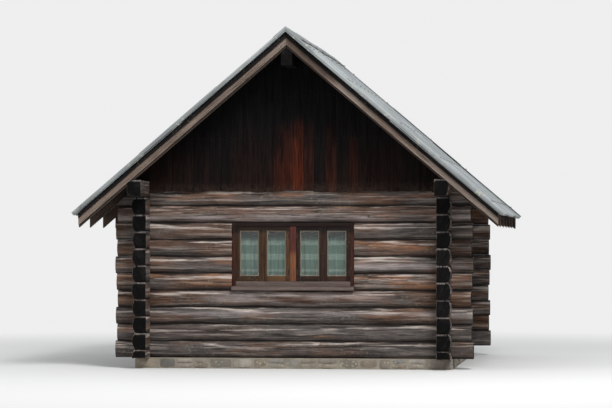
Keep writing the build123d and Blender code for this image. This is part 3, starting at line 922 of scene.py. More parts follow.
def dress(heap, part, along, tone, bevel=0.003, spacing=0.2, wobble=0.0015, slot=0):
    """Adds a timber to a heap, bevelled and a little crooked."""
    if not part.faces:
        return
    bevelled(part, [e for e in part.edges if e.is_manifold and e.calc_face_angle(0) > radians(20)], bevel)
    axes = timber_axes(along)
    reach = [axes[0].dot(v.co) for v in part.verts]
    start, end = min(reach), max(reach)
    for place in np.linspace(start, end, max(2, int((end - start) / spacing) + 1))[1:-1]:
        cut(part, axes[0] * float(place), axes[0], clear=False)
    verts, faces = in_order(part)
    local = np.array([[axis.dot(v.co) for axis in axes] for v in verts])
    middle = (local.max(0) + local.min(0)) / 2
    half = np.maximum((local.max(0) - local.min(0)) / 2, 1e-4)
    if half[2] > half[1]:
        local, middle, half = local[:, [0, 2, 1]], middle[[0, 2, 1]], half[[0, 2, 1]]
    points = [v.co + crooked(place, sum(tone) * 10, wobble) for v, place in zip(verts, local)]
    grain, span = local - middle * (0, 1, 1), (local - middle) / half
    heap.add(points, faces, grain.tolist(), span.tolist(), tone, [slot] * len(faces))
    part.free()


def random_tone(seed):
    """Three numbers about 0.5 that differ from timber to timber."""
    draws = (0.5 + 0.5 * noise.noise(Vector((seed * 5.3 + k, k * 3.1, 0.7))) * 1.6 for k in range(3))
    return tuple(round(draw, 3) for draw in draws)


print("tone of the first timber", random_tone(0))

# %% Rafters, posts, ridge beam and joists
EVEN_TONE = (0.5, 0.5, 0.5)


def down_slope(part):
    """The direction down the slope on which a part lies."""
    return (LEAN if sum(v.co.x for v in part.verts) > 0 else -LEAN, 0, -DROP)


def whole_parts(name, node, slot, look, along, tone_from, **finish):
    """A piece for a node, each solid dressed by itself, down the slope if along is None."""
    heap = Heap()
    for number, part in enumerate(islands(whole_faces(node))):
        direction = down_slope(part) if along is None else along
        tone = EVEN_TONE if tone_from is None else random_tone(number + tone_from)
        dress(heap, part, direction, tone, **finish)
    return show(name, heap, slot, look, node=node)


for node, look, slot, along, finish in (
        ("rafters_right", roof_timber, "roof_timber", None, {"bevel": 0.004}),
        ("rafters_left", roof_timber, "roof_timber", None, {"bevel": 0.004}),
        ("front_gable_posts", roof_timber, "roof_timber", UP, {"bevel": 0.005}),
        ("back_gable_posts", roof_timber, "roof_timber", UP, {"bevel": 0.005}),
        ("ridge_beam", painted_shade_beam_wood, "roof_timber", BACKWARD, {"bevel": 0.006}),
        ("floor_joists", floor_wood, "floor_wood", BACKWARD, {"bevel": 0.004, "spacing": 0.5})):
    whole_parts(node + "_timber", node, slot, look, along, len(node), **finish)

# %% [markdown]
# ## Boards of the gables
#
# Upright boards of many widths close the gable in front of its posts. They are red-brown, and towards the top
# a painted shade from the overhang turns them almost black; near the middle some newer boards are redder. The
# height comes from Object coordinates, the redness from each board's tone.

# %% Material of the gable boards
# painted shade: between these heights the black at the top of the gable turns brown
PAINTED_SHADE_FROM, PAINTED_SHADE_TO = 3.75, 2.75  # heights between which the black turns brown
RED_TO = 2.9  # the red is full below this height
look, tree = new_look("gable_boards", shine=0.08)
place, tone, span = timber_place(tree)
shade, red, _ = parts_of(tone)
grain = use(tree, wood_grain, {"Place": place, "Width": 1.2, "Cracks": 0.6})
wear = use(tree, worn_arris, {"Span": span, "Place": place})["Wear"]
where = object_place(tree)
high = parts_of(where)[2]
uneven = high + speckle(where, scale=2.5) * 0.9
black = blend(grain["Streak"], rgb(4, 4, 6), rgb(13, 12, 13))
brown = blend(grain["Streak"], rgb(12, 7, 6), rgb(33, 18, 13))
warm = blend(grain["Streak"], rgb(36, 13, 7), rgb(90, 38, 19))
# painted shade: the boards turn black towards the top, under the overhang
low_down = window(uneven, PAINTED_SHADE_FROM, PAINTED_SHADE_TO)
colour = blend(low_down * window(shade, 0, 0.8, 0.45, 1), black, brown)
colour = blend(red * window(uneven, PAINTED_SHADE_FROM, RED_TO), colour, warm)
colour = blend(wear * 0.12, colour, rgb(56, 44, 38))
colour = fibrous(colour, grain["Fibre"])
foot = window(high, 2.42, 2.26) * window(speckle(where, scale=20), 0.3, 0.6)
colour = blend(foot * 0.25, colour, rgb(80, 64, 55))
colour = blend(grain["Crack"] * 0.8, colour, rgb(7, 6, 6))
roughness = window(grain["Streak"], 0, 1, 0.85, 0.7)
gable_wood = finish_look(look, colour, roughness, grain["Height"], depth=0.0025)

# %% [markdown]
# Each board is the slab of the solid between two upright planes, shifted in or out by a few
# millimetres. The planes are slanted, as a joiner bevels the edges of such boards, so that neither rain
# nor daylight comes straight through a joint. Each foot is cut at its own height, which gives the ragged
# lower edge.

# %% Gable boards
EDGE_SLANT = 0.6
GABLE_SEEDS = {"front": 11, "back": 12}
GABLE_SIDE = WALL_X + HALF_LOG  # the boarding ends over the side walls' outer faces
GABLE_FOOT = 2.2575  # lowest end of the boards
RAGGED_TO = 1.8  # boards nearer the middle than this have a ragged foot
# Redder boards of the front gable: the place across it that each covers, and how red it is.
REDNESS = ((-0.24, 0.35), (-0.1, 0.5), (0.06, 1.0), (0.2, 0.2), (0.52, 0.22), (0.75, 0.16), (1.0, 0.1))


def board_edges(gable, least=0.1, most=0.165):
    """Edges of boards of random width that fill the width of a gable."""
    random = np.random.default_rng(GABLE_SEEDS[gable])
    edges = [-GABLE_SIDE]
    while edges[-1] < GABLE_SIDE - most:
        edges.append(edges[-1] + float(random.uniform(least, most)))
    return edges + [GABLE_SIDE]


def gable_boards(gable):
    """Boards of one gable, each with its own joint, foot, shift and tone."""
    node = gable + "_gable_boards"
    outwards = -1 if gable == "front" else 1
    heap, slab = Heap(), whole_faces(node)
    face = max((v.co.y for v in slab.verts), key=lambda y: y * outwards)
    edges = board_edges(gable)
    random = np.random.default_rng(GABLE_SEEDS[gable])
    for left, right in pairwise(edges):
        gap = float(random.uniform(0.0006, 0.0018))
        middle = (left + right) / 2
        foot = GABLE_FOOT + float(random.uniform(0.0, 0.028))
        slant = Vector((float(random.uniform(-0.1, 0.1)), 0, -1)).normalized()
        planes = [((right - gap, face, 0), (1, EDGE_SLANT, 0)), ((left + gap, face, 0), (-1, -EDGE_SLANT, 0))]
        if abs(middle) < RAGGED_TO:
            planes.append(((middle, 0, foot), slant))
        board = clipped(slab, [(Vector(point), Vector(normal).normalized()) for point, normal in planes])
        shift = float(random.uniform(-0.004, 0.002)) * outwards
        bmesh.ops.translate(board, verts=board.verts, vec=(0, shift, 0))
        red = sum(share for x, share in REDNESS if left <= x < right) if gable == "front" else 0.1
        for part in islands(board):
            tone = (float(random.uniform()), min(1.0, red), float(random.uniform()))
            dress(heap, part, UP, tone, bevel=0.002, spacing=0.25, wobble=0.002)
    return show(node + "_planks", heap, "gable_wood", gable_wood, node=node)


gable_boards("front")
gable_boards("back")

# %% [markdown]
# ## Verge boards
#
# The barge board closes the ends of the roof timbers and is bleached brown. A narrow board covers its upper
# part just under the sheets; its near-black colour is partly its own and partly painted shade from the sheets
# above. Both meet their twins at the ridge in a plumb cut.

# %% Barge boards and verge trims
for gable in ("front", "back"):
    for kind, look, slot, wobble in (
            ("_barge_boards", barge_wood, "barge_wood", 0.003),
            ("_verge_trims", trim_wood, "trim_wood", 0.0015)):
        node = gable + kind
        whole_parts(node + "_sawn", node, slot, look, None, len(gable) * 3,
                    bevel=0.0025, spacing=0.25, wobble=wobble)

# %% [markdown]
# ## Geometry nodes for what repeats
#
# Boards, sheets, stones, nails and screws repeat by rule, which is what geometry nodes are for. A tree
# puts copies of something at the points of a small seedling mesh, or copies of the seedling in a row,
# turns most of them a little at random from a fixed seed, makes them real and gives them their material.
# The result is kept as a plain mesh, without its modifier.

# %% Helpers for geometry nodes
def geometry_tree(name, inputs):
    """An empty tree; returns its named inputs as wires."""
    tree = bpy.data.node_groups.new(name, "GeometryNodeTree")
    for end in ("INPUT", "OUTPUT"):
        tree.interface.new_socket("Geometry", in_out=end, socket_type="NodeSocketGeometry")
    for label, kind in inputs.items():
        tree.interface.new_socket(label, in_out="INPUT", socket_type="NodeSocket" + kind)
    return wires(tree.nodes.new("NodeGroupInput"))


def end_tree(instances, look):
    """Makes instances real, gives them their material and ends a tree."""
    real = wire("GeometryNodeRealizeInstances", {0: instances})
    dressed = wire("GeometryNodeSetMaterial", {"Geometry": real, "Material": look})
    tree = dressed.tree
    tree.links.new(dressed.socket, tree.nodes.new("NodeGroupOutput").inputs[0])
    print("tree finished:", tree.name)
    return tree


def copies_at(points, part, **settings):
    """A copy of a part at each point."""
    return wire("GeometryNodeInstanceOnPoints", {"Points": points, "Instance": part, **settings})


def random_vector(seed, low, high):
    return wire("FunctionNodeRandomValue", {"Seed": seed, 0: low, 1: high}, data_type="FLOAT_VECTOR")


def stored(geometry, name, value, domain):
    """Geometry that carries a vector for its material."""
    return wire("GeometryNodeStoreNamedAttribute", {"Geometry": geometry, "Name": name, "Value": value},
                data_type="FLOAT_VECTOR", domain=domain)


def toned(instances, seed):
    return stored(instances, "tone", random_vector(seed, (0, 0, 0), (1, 1, 1)), "INSTANCE")


def loose_copies(points, part, given):
    """Copies a little out of true, each with a tone of its own."""
    loose = random_vector(given["Seed"], given["Looseness"] * (-1, -1, -1), given["Looseness"])
    return toned(copies_at(points, part, Rotation=given["Turn"] + loose), given["Seed"])

# %% From a tree to a plain mesh
def grow(name, seedling, tree, values):
    """The plain mesh that a tree makes of a seedling mesh."""
    carrier = placed(name, seedling)
    modifier = carrier.modifiers.new("grow", "NODES")
    modifier.node_group = tree
    for socket in tree.interface.items_tree:
        if socket.in_out == "INPUT" and socket.name in values:
            modifier[socket.identifier] = values[socket.name]
    graph = bpy.context.evaluated_depsgraph_get()
    made = bpy.data.meshes.new_from_object(
        carrier.evaluated_get(graph), preserve_all_data_layers=True, depsgraph=graph)
    bpy.data.objects.remove(carrier)
    made.set_sharp_from_angle(angle=SHARP)
    return made

# %% [markdown]
# ## Boards of the roof and the floor
#
# The roof is boarded from the ridge down and the floor from front to back, with boards of one width that
# never lie quite straight. So one seedling board, bevelled and with its grain marked, is copied along a
# row, and each copy gets its own turn, within a few thousandths, and its own tone.

# %% A row of boards
given = geometry_tree("row_of_boards", {
    "Count": "Int", "First": "Vector", "Step": "Vector", "Turn": "Vector", "Looseness": "Vector",
    "Seed": "Int", "Look": "Material"})
row = wire("GeometryNodeMeshLine", {
    "Count": given["Count"], "Start Location": given["First"], "Offset": given["Step"]}, mode="OFFSET")
row_of_boards = end_tree(loose_copies(row, given["Geometry"], given), given["Look"])


def board_seedling(length, width, thickness, spacing=0.3):
    """One bevelled board along X, with its grain and span but no tone."""
    form = bmesh.new()
    bmesh.ops.create_cube(form, size=1)
    bmesh.ops.scale(form, vec=(length, width, thickness), verts=form.verts)
    heap = Heap()
    dress(heap, form, ACROSS, (0, 0, 0), bevel=0.0025, spacing=spacing, wobble=0.0)
    mesh = heap.mesh("board")
    mesh.attributes.remove(mesh.attributes["tone"])
    return mesh

# %% Roof boards
SLOPES = (("right", 1), ("left", -1))
ROOF_BOARDS = 22  # on each slope
ROOF_BOARD_LENGTH = 5.216
RIDGE_TO_BOARD = 0.022
HALF_DECK = 0.012  # half the thickness of the boarding's solid
DECK_END = (EAVE - 0.04) / LEAN  # ridge to the lower edge, down the slope
roof_step = (DECK_END - 0.03) / ROOF_BOARDS
for side, slope in SLOPES:
    down, up = Vector((slope * LEAN, 0, -DROP)), Vector((slope * DROP, 0, LEAN))
    first = Vector((0, 0, DECK_RIDGE)) + down * (RIDGE_TO_BOARD + roof_step / 2) - up * HALF_DECK
    seedling = board_seedling(ROOF_BOARD_LENGTH, roof_step - 0.004, 0.0225, spacing=0.5)
    boards = grow("roof_boards_" + side, seedling, row_of_boards, {
        "Count": ROOF_BOARDS, "First": first, "Step": down * roof_step, "Looseness": (0.004, 0, 0.0003),
        "Turn": (slope * PITCH, 0, pi / 2), "Seed": 5, "Look": boarding_wood})
    show("roof_boards_" + side, boards, "roof_timber", boarding_wood, node="roof_boarding_" + side)

# %% Floor boards
FLOOR_BOARDS = 24
FLOOR_FRONT, FLOOR_LENGTH, FLOOR_WIDTH = -1.803, 4.006, 3.702
FLOOR_MIDDLE = 0.3372  # height of the middle of the boards
floor_step = FLOOR_LENGTH / FLOOR_BOARDS
seedling = board_seedling(FLOOR_WIDTH, floor_step - 0.003, 0.029)
floor_planks = grow("floor_planks", seedling, row_of_boards, {
    "Count": FLOOR_BOARDS, "First": (0, FLOOR_FRONT + floor_step / 2, FLOOR_MIDDLE),
    "Step": (0, floor_step, 0), "Turn": (0, 0, 0), "Looseness": (0.003, 0, 0.0002), "Seed": 8,
    "Look": floor_wood})
show("floor_planks", floor_planks, "floor_wood", floor_wood, node="floor_boards")


# %% [markdown]
# ## The roof covering
#
# Grey corrugated sheets of fibre cement cover the roof. Rain has left streaks down the slope, dirt has
# settled in the troughs, and lichen and moss grow in pale and dark spots. The sheets' own `grain` holds
# the height of the wave, so the dirt finds the troughs by itself.

# %% Sheet material
look, tree = new_look("roof_sheet", shine=0.3)
dark, plain, pale = rgb(122, 126, 128), rgb(160, 164, 166), rgb(184, 188, 190)
place, tone, _ = timber_place(tree)
wave = parts_of(attribute(tree, "grain"))[2]
where = object_place(tree)
sky = use(tree, weather, {"Lichen": 0.85, "Spot size": 0.045})
streaks = speckle(place * (1.2, 22, 22), detail=5, roughness=0.65)
speck = speckle(where, scale=120, detail=3)
colour = blend(window(streaks, 0.3, 0.7), dark, plain)
colour = blend(window(speckle(where, scale=1.7, detail=5), 0.4, 0.65) * 0.6, colour, pale)
colour = blend(parts_of(tone)[0] * 0.25, colour, dark)
colour = blend(window(wave, 0.016, 0) * 0.45, colour, rgb(88, 88, 84))
colour = blend(sky["Lichen"], colour, rgb(176, 178, 160))
moss = window(speckle(where, scale=9, detail=6, roughness=0.7), 0.62, 0.7)
colour = blend(moss * 0.55, colour, rgb(72, 74, 64))
relief = speck * 0.3 + sky["Lichen"] * 0.7
roof_sheet = finish_look(look, colour, window(speck, 0.3, 0.7, 0.9, 0.72), relief, depth=0.0015)

# %% [markdown]
# The sheets lie in two rows on each slope, each lapped over the next by one wave, and the upper row over
# the lower one. A sheet is a grid whose height follows a cosine across it. Extruded upwards and joined
# with its own underside it is closed, so it has a real thickness. A slow noise lets it sag a little
# between its screws.

# %% Tree of the corrugated sheets
POINTS_A_WAVE = 14


def waved_grid(given):
    """A grid, X down the slope, raised in waves across it; its place becomes its grain."""
    width = given["Waves"] * given["Pitch"]
    grid = wire("GeometryNodeMeshGrid", {
        "Size X": given["Length"], "Size Y": width, "Vertices X": 13,
        "Vertices Y": given["Waves"] * POINTS_A_WAVE + 1})
    position = wire("GeometryNodeInputPosition", tree=grid.tree)
    turns = (parts_of(position)[1] + width * 0.5) / given["Pitch"]
    wave = (1.0 - (turns * (2 * pi)).cosine()) * (given["Wave height"] * 0.5)
    sag = speckle(position, scale=1.5, detail=1) * 0.003
    waved = wire("GeometryNodeSetPosition", {"Geometry": grid, "Offset": vector(z=wave + sag)})
    return stored(waved, "grain", wire("GeometryNodeInputPosition", tree=grid.tree), "POINT")


def joined(first, second):
    both = add_node("GeometryNodeJoinGeometry", {0: first})
    both.id_data.links.new(second.socket, both.inputs[0])
    return Wire(both.outputs[0])


given = geometry_tree("corrugated_sheets", {
    "Waves": "Int", "Pitch": "Float", "Wave height": "Float", "Length": "Float", "Thickness": "Float",
    "Turn": "Vector", "Looseness": "Vector", "Seed": "Int", "Look": "Material"})
skin = waved_grid(given)
upper = wire("GeometryNodeExtrudeMesh", {
    "Mesh": skin, "Offset": vector(z=given["Thickness"]), "Individual": False})
under = wire("GeometryNodeFlipFaces", {0: skin})
closed = wire("GeometryNodeMergeByDistance", {"Geometry": joined(upper, under), "Distance": 0.0001})
corrugated_sheets = end_tree(loose_copies(given["Geometry"], closed, given), given["Look"])

# %% [markdown]
# A roofer starts at the eave, so the upper row rests on the lower one, and every second sheet lies a
# little higher because its side waves cover its neighbours'. The lower ends are never quite in line.

# %% Laying the sheets
WAVES = 31  # from verge to verge
WAVE_PITCH = 2 * VERGE / WAVES
WAVE_HEIGHT = 0.036
SHEETS_ACROSS, SHEET_WAVES = 5, 7
SLOPE_END = EAVE / LEAN  # ridge to eave, down the slope
SHEET_LENGTH = (SLOPE_END - 0.06) / 2 + 0.08
SHEET_THICKNESS = 0.006
BOARDS_TO_SHEET, ROW_RISE, LAP_RISE = 0.0015, 0.007, 0.0055
STAGGER = (0.0, -0.006, -0.002, -0.008, -0.003)
LOWER_ROW = SLOPE_END - SHEET_LENGTH / 2 - 0.002
UPPER_ROW = 0.062 + SHEET_LENGTH / 2


def on_slope(slope, along, down, above):
    """A point from its place from front to back, down the slope, and above the boarding."""
    return Vector((slope * (down * LEAN + above * DROP), along, DECK_RIDGE - down * DROP + above * LEAN))


def sheet_places(slope):
    """Middles of the sheets of one slope: the lower row, then the upper one."""
    for row, middle in enumerate((LOWER_ROW, UPPER_ROW)):
        for number in range(SHEETS_ACROSS):
            start = -VERGE + number * (SHEET_WAVES - 1) * WAVE_PITCH
            stagger = 0.0 if row else STAGGER[number]
            above = BOARDS_TO_SHEET + ROW_RISE * row + LAP_RISE * (number % 2)
            yield on_slope(slope, start + SHEET_WAVES / 2 * WAVE_PITCH, middle + stagger, above)


for side, slope in SLOPES:
    sheets = grow("sheets_" + side, plain_mesh("places", sheet_places(slope)), corrugated_sheets, {
        "Waves": SHEET_WAVES, "Pitch": WAVE_PITCH, "Wave height": WAVE_HEIGHT, "Length": SHEET_LENGTH,
        "Thickness": SHEET_THICKNESS, "Turn": (0, PITCH, 0) if slope > 0 else (0, PITCH, pi),
        "Looseness": (0.0005, 0.0005, 0.0), "Seed": 3, "Look": roof_sheet})
    show("corrugated_sheets_" + side, sheets, "roof_sheet", roof_sheet, node="roof_sheets_" + side)

# %% [markdown]
# ## Verge caps and ridge cap
#
# Angle pieces of the same material cover the ends of the sheets at both verges, and a folded cap covers
# the ridge. Both come in short lengths. Every second one laps over its neighbours, so it is a little
# longer and lies a little higher. The lengths are clipped from the solids, because a cap keeps the same
# section all along.

# %% Verge caps and ridge cap
LAP = 0.05
LAP_LIFT = 0.0053
CAP_END = 0.001  # the last cuts lie this far past the solid's own ends
VERGE_CAP_LENGTHS, RIDGE_CAP_LENGTHS = 3, 5


def lengths_of(start, end, count):
    """Start, end and lift of each length in a lapped row."""
    marks = np.linspace(start, end, count + 1)
    for number, (low, high) in enumerate(pairwise(marks)):
        if number % 2:
            yield low - LAP, high + (LAP if number < count - 1 else 0.0), LAP_LIFT
        else:
            yield low, high, 0.0


def lapped(heap, form, along, limits, lift_along, tone_from):
    """Adds a form in lapped lengths; limits are its start, end and their number."""
    along, lift_along = Vector(along), Vector(lift_along)
    for number, (first, last, lift) in enumerate(lengths_of(*limits)):
        part = clipped(form, [(along * first, -along), (along * last, along)])
        bmesh.ops.translate(part, verts=part.verts, vec=lift_along * lift)
        dress(heap, part, along, random_tone(number + tone_from), bevel=0.0012, spacing=0.12, wobble=0.0008)


heap = Heap()
for number, cap in enumerate(islands(whole_faces("verge_caps"))):
    down = Vector(down_slope(cap))
    reach = [down.dot(v.co) for v in cap.verts]
    limits = (min(reach) - CAP_END, max(reach) + CAP_END, VERGE_CAP_LENGTHS)
    lapped(heap, cap, down, limits, (DROP if down.x > 0 else -DROP, 0, LEAN), number * 5 + 90)
show("verge_cap_lengths", heap, "roof_sheet", roof_sheet, node="verge_caps")

heap = Heap()
lapped(heap, whole_faces("ridge_cap"), BACKWARD, (-2.707, 2.707, RIDGE_CAP_LENGTHS), UP, 70)
show("ridge_cap_lengths", heap, "roof_sheet", roof_sheet, node="ridge_cap")

# %% [markdown]
# ## Screws and nails
#
# A screw on the roof is a washer with a low domed head on the crest of a wave; a nail in a board is the
# same in small, and a bolt on the door in stout. One tree makes them all and turns each about its own
# axis. Old zinc is dull and black iron rusts, in blotches.

# %% Metals
def metal_look(name, dark, plain, rust, metallic):
    look, tree = new_look(name, shine=0.4, Metallic=metallic)
    where = object_place(tree)
    blotch = speckle(where, scale=35, detail=6, roughness=0.7)
    fine = speckle(where, scale=400, detail=3)
    colour = blend(window(fine, 0.35, 0.65), rgb(*dark), rgb(*plain))
    colour = blend(window(blotch, 0.45, 0.6) * 0.8, colour, rgb(*rust))
    roughness = window(blotch, 0.35, 0.65, 0.5, 0.85)
    return finish_look(look, colour, roughness, blotch * 0.6 + fine * 0.4, depth=0.0006)


zinc = metal_look("dull_zinc", (96, 100, 104), (142, 146, 150), (108, 78, 58), metallic=0.7)
black_iron = metal_look("black_iron", (26, 25, 25), (52, 49, 47), (86, 50, 32), metallic=0.6)

# %% Tree of the screws and nails
given = geometry_tree("screws_and_nails", {
    "Washer radius": "Float", "Washer height": "Float", "Head radius": "Float", "Head height": "Float",
    "Turn": "Vector", "Seed": "Int", "Look": "Material"})
washer = wire("GeometryNodeMeshCylinder", {
    "Vertices": 12, "Radius": given["Washer radius"], "Depth": given["Washer height"]})
dome = wire("GeometryNodeMeshUVSphere", {"Segments": 8, "Rings": 6, "Radius": given["Head radius"]})
squeeze = vector(1.0, 1.0, given["Head height"] / given["Head radius"])
dome = wire("GeometryNodeTransform", {"Geometry": dome, "Scale": squeeze})
copies = copies_at(given["Geometry"], joined(washer, dome), Rotation=given["Turn"])
spin = random_vector(given["Seed"], (0, 0, 0), (0.06, 0.06, 6.28))
copies = wire("GeometryNodeRotateInstances", {"Instances": copies, "Rotation": spin, "Local Space": True})
screws_and_nails = end_tree(copies, given["Look"])


def studs(name, places, turn, washer, head, look=black_iron, slot="door_iron"):
    """Screws or nails at some places; washer and head are radius and height."""
    mesh = grow(name, plain_mesh(name, places), screws_and_nails, {
        "Washer radius": washer[0], "Washer height": washer[1], "Head radius": head[0],
        "Head height": head[1], "Turn": turn, "Seed": 1, "Look": look})
    return show(name, mesh, slot, look)

# %% [markdown]
# Sheets are screwed through the crests, so that no water stands on the holes: in every third wave
# in five rows, with one screw in each verge cap beside them and a row through the ridge cap.

# %% Screws of the roof
UPPER_SCREWS, LOWER_SCREWS = (0.3, 0.95, 1.78), (2.45, 3.3)  # rows, down from the ridge
SCREW_ROWS = UPPER_SCREWS + LOWER_SCREWS
SHEET_TOP, VERGE_CAP_TOP, RIDGE_CAP_TOP = 0.0165 + WAVE_HEIGHT, 0.0655, 0.0705
RIDGE_SCREWS_DOWN = 0.17
WASHER, SCREW_HEAD = (0.014, 0.003), (0.0065, 0.006)


def crest(number):
    """Place from front to back of the crest of a wave."""
    return -VERGE + (number + 0.5) * WAVE_PITCH


def roof_screws(slope):
    for down in SCREW_ROWS:
        top = SHEET_TOP + (ROW_RISE if down in UPPER_SCREWS else 0.0)
        for wave in range(1, WAVES, 3):
            yield on_slope(slope, crest(wave), down, top)
    for verge in (-1, 1):
        for down in SCREW_ROWS:
            yield on_slope(slope, verge * (VERGE - 0.5 * WAVE_PITCH), down + 0.05, VERGE_CAP_TOP)
    for wave in range(2, WAVES, 4):
        yield on_slope(slope, crest(wave), RIDGE_SCREWS_DOWN, RIDGE_CAP_TOP)


for side, slope in SLOPES:
    studs("roof_screws_" + side, roof_screws(slope), (0, slope * PITCH, 0), WASHER, SCREW_HEAD, zinc,
          "roof_sheet")

# %% [markdown]
# Each gable board has two nails at three heights, unless the roof is in the way, and they are never
# quite in line. The verge boards are nailed to the ends of the timbers behind them: one nail in the
# barge board, one in the dark trim above it.

# %% Nails of the gables and verges
NAIL_LEVELS = (2.36, 2.95, 3.5)
NAIL_FROM_EDGE = 0.028
BOARDS_OUT = HALF_LOG + 0.0265  # centre line of the wall to the face of the gable boards
UNDER_ROOF = 0.2  # how far below the boarding a nail has to stay
VERGE_NAILS_DOWN = (0.16, 0.7, 1.3, 1.9, 2.5, 3.1, 3.38)
BARGE_FACE, TRIM_FACE = 2.638, 2.6605
BARGE_LEVEL, TRIM_LEVEL = -0.078, -0.023  # above the boarding, so both are below it


def gable_nails(gable, face):
    random = np.random.default_rng(21)
    edges = board_edges(gable)
    for left, right in pairwise(edges):
        roof_at = DECK_RIDGE - max(abs(left), abs(right)) * RISE - UNDER_ROOF
        for z in NAIL_LEVELS:
            if z < roof_at:
                for x in (left + NAIL_FROM_EDGE, right - NAIL_FROM_EDGE):
                    aside = float(random.uniform(-0.006, 0.006))
                    yield (x + aside, face, z + float(random.uniform(-0.015, 0.015)))


def verge_nails(out):
    for slope in (-1, 1):
        for down in VERGE_NAILS_DOWN:
            yield on_slope(slope, out * BARGE_FACE, down, BARGE_LEVEL)
            yield on_slope(slope, out * TRIM_FACE, down + 0.02, TRIM_LEVEL)


for gable, out, wall in (("front", -1, FRONT_Y), ("back", 1, BACK_Y)):
    turn = (-out * pi / 2, 0, 0)
    studs(gable + "_gable_nails", gable_nails(gable, wall + out * BOARDS_OUT), turn, (0.004, 0.0012),
          (0.0035, 0.0015))
    studs(gable + "_verge_nails", verge_nails(out), turn, (0.0045, 0.0014), (0.004, 0.0018))


# %% [markdown]
# ## The window
#
# Two bays of two casements share one frame. The old red-brown stain has kept its colour on the sheltered
# jambs, and worn to orange on the middle post and to grey on the sill, so each has a finish of its own.
# All but the sill have a painted shade at the top, under the head of the window.

# %% Woods of the window
# painted shade: the colour and the heights at which the window's members darken under its head
HEAD_SHADE = ((15, 10, 9), 1.73, 1.81)
POST_SHADE = ((70, 32, 34), 1.46, 1.56)
jamb_wood = wood_look("jamb_wood", [(13, 5, 4), (38, 13, 10), (58, 22, 16), (66, 36, 27)], upper=HEAD_SHADE)
sash_wood = wood_look("sash_wood", [(32, 19, 14), (72, 49, 33), (98, 71, 47), (98, 78, 62)], upper=HEAD_SHADE)
dark_sash_wood = wood_look("dark_sash_wood", [(22, 13, 10), (48, 31, 24), (62, 42, 32), (72, 56, 46)],
                           upper=HEAD_SHADE)
post_wood = wood_look("post_wood", [(60, 24, 15), (122, 60, 30), (128, 68, 38), (110, 78, 58)],
                      upper=POST_SHADE)
sill_wood = wood_look("sill_wood", [(48, 38, 35), (86, 71, 65), (106, 91, 86), (108, 95, 90)])

# %% [markdown]
# A frame or a casement is made of upright stiles with the rails between them, so the solids are clipped
# at those joints. Each cut lies half a millimetre off the faces of the solid, which leaves the joints as
# fine lines. The middle post is held between head and foot rail.

# %% Frame and sill
FINE_LINE = 0.0005
FRAME_INSIDE, FRAME_FOOT, FRAME_HEAD = 0.7395, 1.1185, 1.8205
POST_INSIDE = 0.0395


def frame_members(inside, foot, head):
    """Jambs, head and foot rail: low corner, high corner and direction of the grain."""
    wide, narrow = inside + FINE_LINE, inside - FINE_LINE
    return [(OPEN, (-wide, None, None), UP), ((wide, None, None), OPEN, UP),
            ((-narrow, None, head + FINE_LINE), (narrow, None, None), ACROSS),
            ((-narrow, None, None), (narrow, None, foot - FINE_LINE), ACROSS)]


def joinery(heap, form, members, tone_from, bevel, slots=(0, 0, 0, 0)):
    """Clips a frame or casement in its members and dresses each."""
    for number, ((low, high, along), slot) in enumerate(zip(members, slots)):
        dress(heap, between(form, low, high), along, random_tone(number + tone_from), bevel, slot=slot)


heap = Heap()
post = ((-POST_INSIDE, None, FRAME_FOOT + FINE_LINE), (POST_INSIDE, None, FRAME_HEAD - FINE_LINE), UP)
members = frame_members(FRAME_INSIDE, FRAME_FOOT, FRAME_HEAD) + [post]
joinery(heap, whole_faces("window_frame"), members, 30, bevel=0.0025, slots=(0, 0, 0, 2, 1))
show("window_frame_joinery", heap, "window_wood", jamb_wood, post_wood, sill_wood, node="window_frame")

heap = Heap()
dress(heap, whole_faces("window_sill"), ACROSS, (0.9, 0.4, 0.6), bevel=0.005, spacing=0.12, wobble=0.003)
show("window_sill_board", heap, "window_wood", sill_wood, node="window_sill")

# %% Casements
STILE = 0.062
IN_THE_PANE = (1.3, 1.5)  # two heights between the rails of a casement
heap = Heap()
casements = []
for number, sash in enumerate(islands(whole_faces("window_sashes"))):
    xs = [v.co.x for v in sash.verts]
    left, right = min(xs), max(xs)
    casements.append((left, right))
    stile, rail = STILE - FINE_LINE, STILE + FINE_LINE
    members = [(OPEN, (left + stile, None, None), UP), ((right - stile, None, None), OPEN, UP),
               ((left + rail, None, None), (right - rail, None, IN_THE_PANE[0]), ACROSS),
               ((left + rail, None, IN_THE_PANE[1]), (right - rail, None, None), ACROSS)]
    joinery(heap, sash, members, number * 4, bevel=0.002, slots=[0 if left < 0 else 1] * 4)
casements.sort()
show("window_casements", heap, "window_wood", sash_wood, dark_sash_wood, node="window_sashes")

# %% [markdown]
# ## Glass and putty
#
# Old glass is slightly wavy and greenish, with a little dirt in patches. It is bedded in the
# rebate of the casement with a sloping fillet of putty that has yellowed and cracked.

# %% Glass
look, tree = new_look("old_glass", shine=0.5, IOR=1.5, **{"Transmission Weight": 1.0})
where = object_place(tree)
dirt = speckle(where, scale=14, detail=6, roughness=0.7)
colour = blend(dirt, (0.8, 0.93, 0.88, 1), (0.93, 0.98, 0.95, 1))
waves = speckle(where, scale=5, detail=1)
old_glass = finish_look(look, colour, window(dirt, 0.45, 0.75, 0.01, 0.16), waves, depth=0.003)
whole_parts("window_panes", "window_glass", "window_glass", old_glass, UP, 0, bevel=0.0003, wobble=0.0)

# %% Putty
def cracks_between(place, scale):
    """Distance from the edges of a pattern of cells."""
    return wire("ShaderNodeTexVoronoi", {"Vector": place, "Scale": scale}, feature="DISTANCE_TO_EDGE")


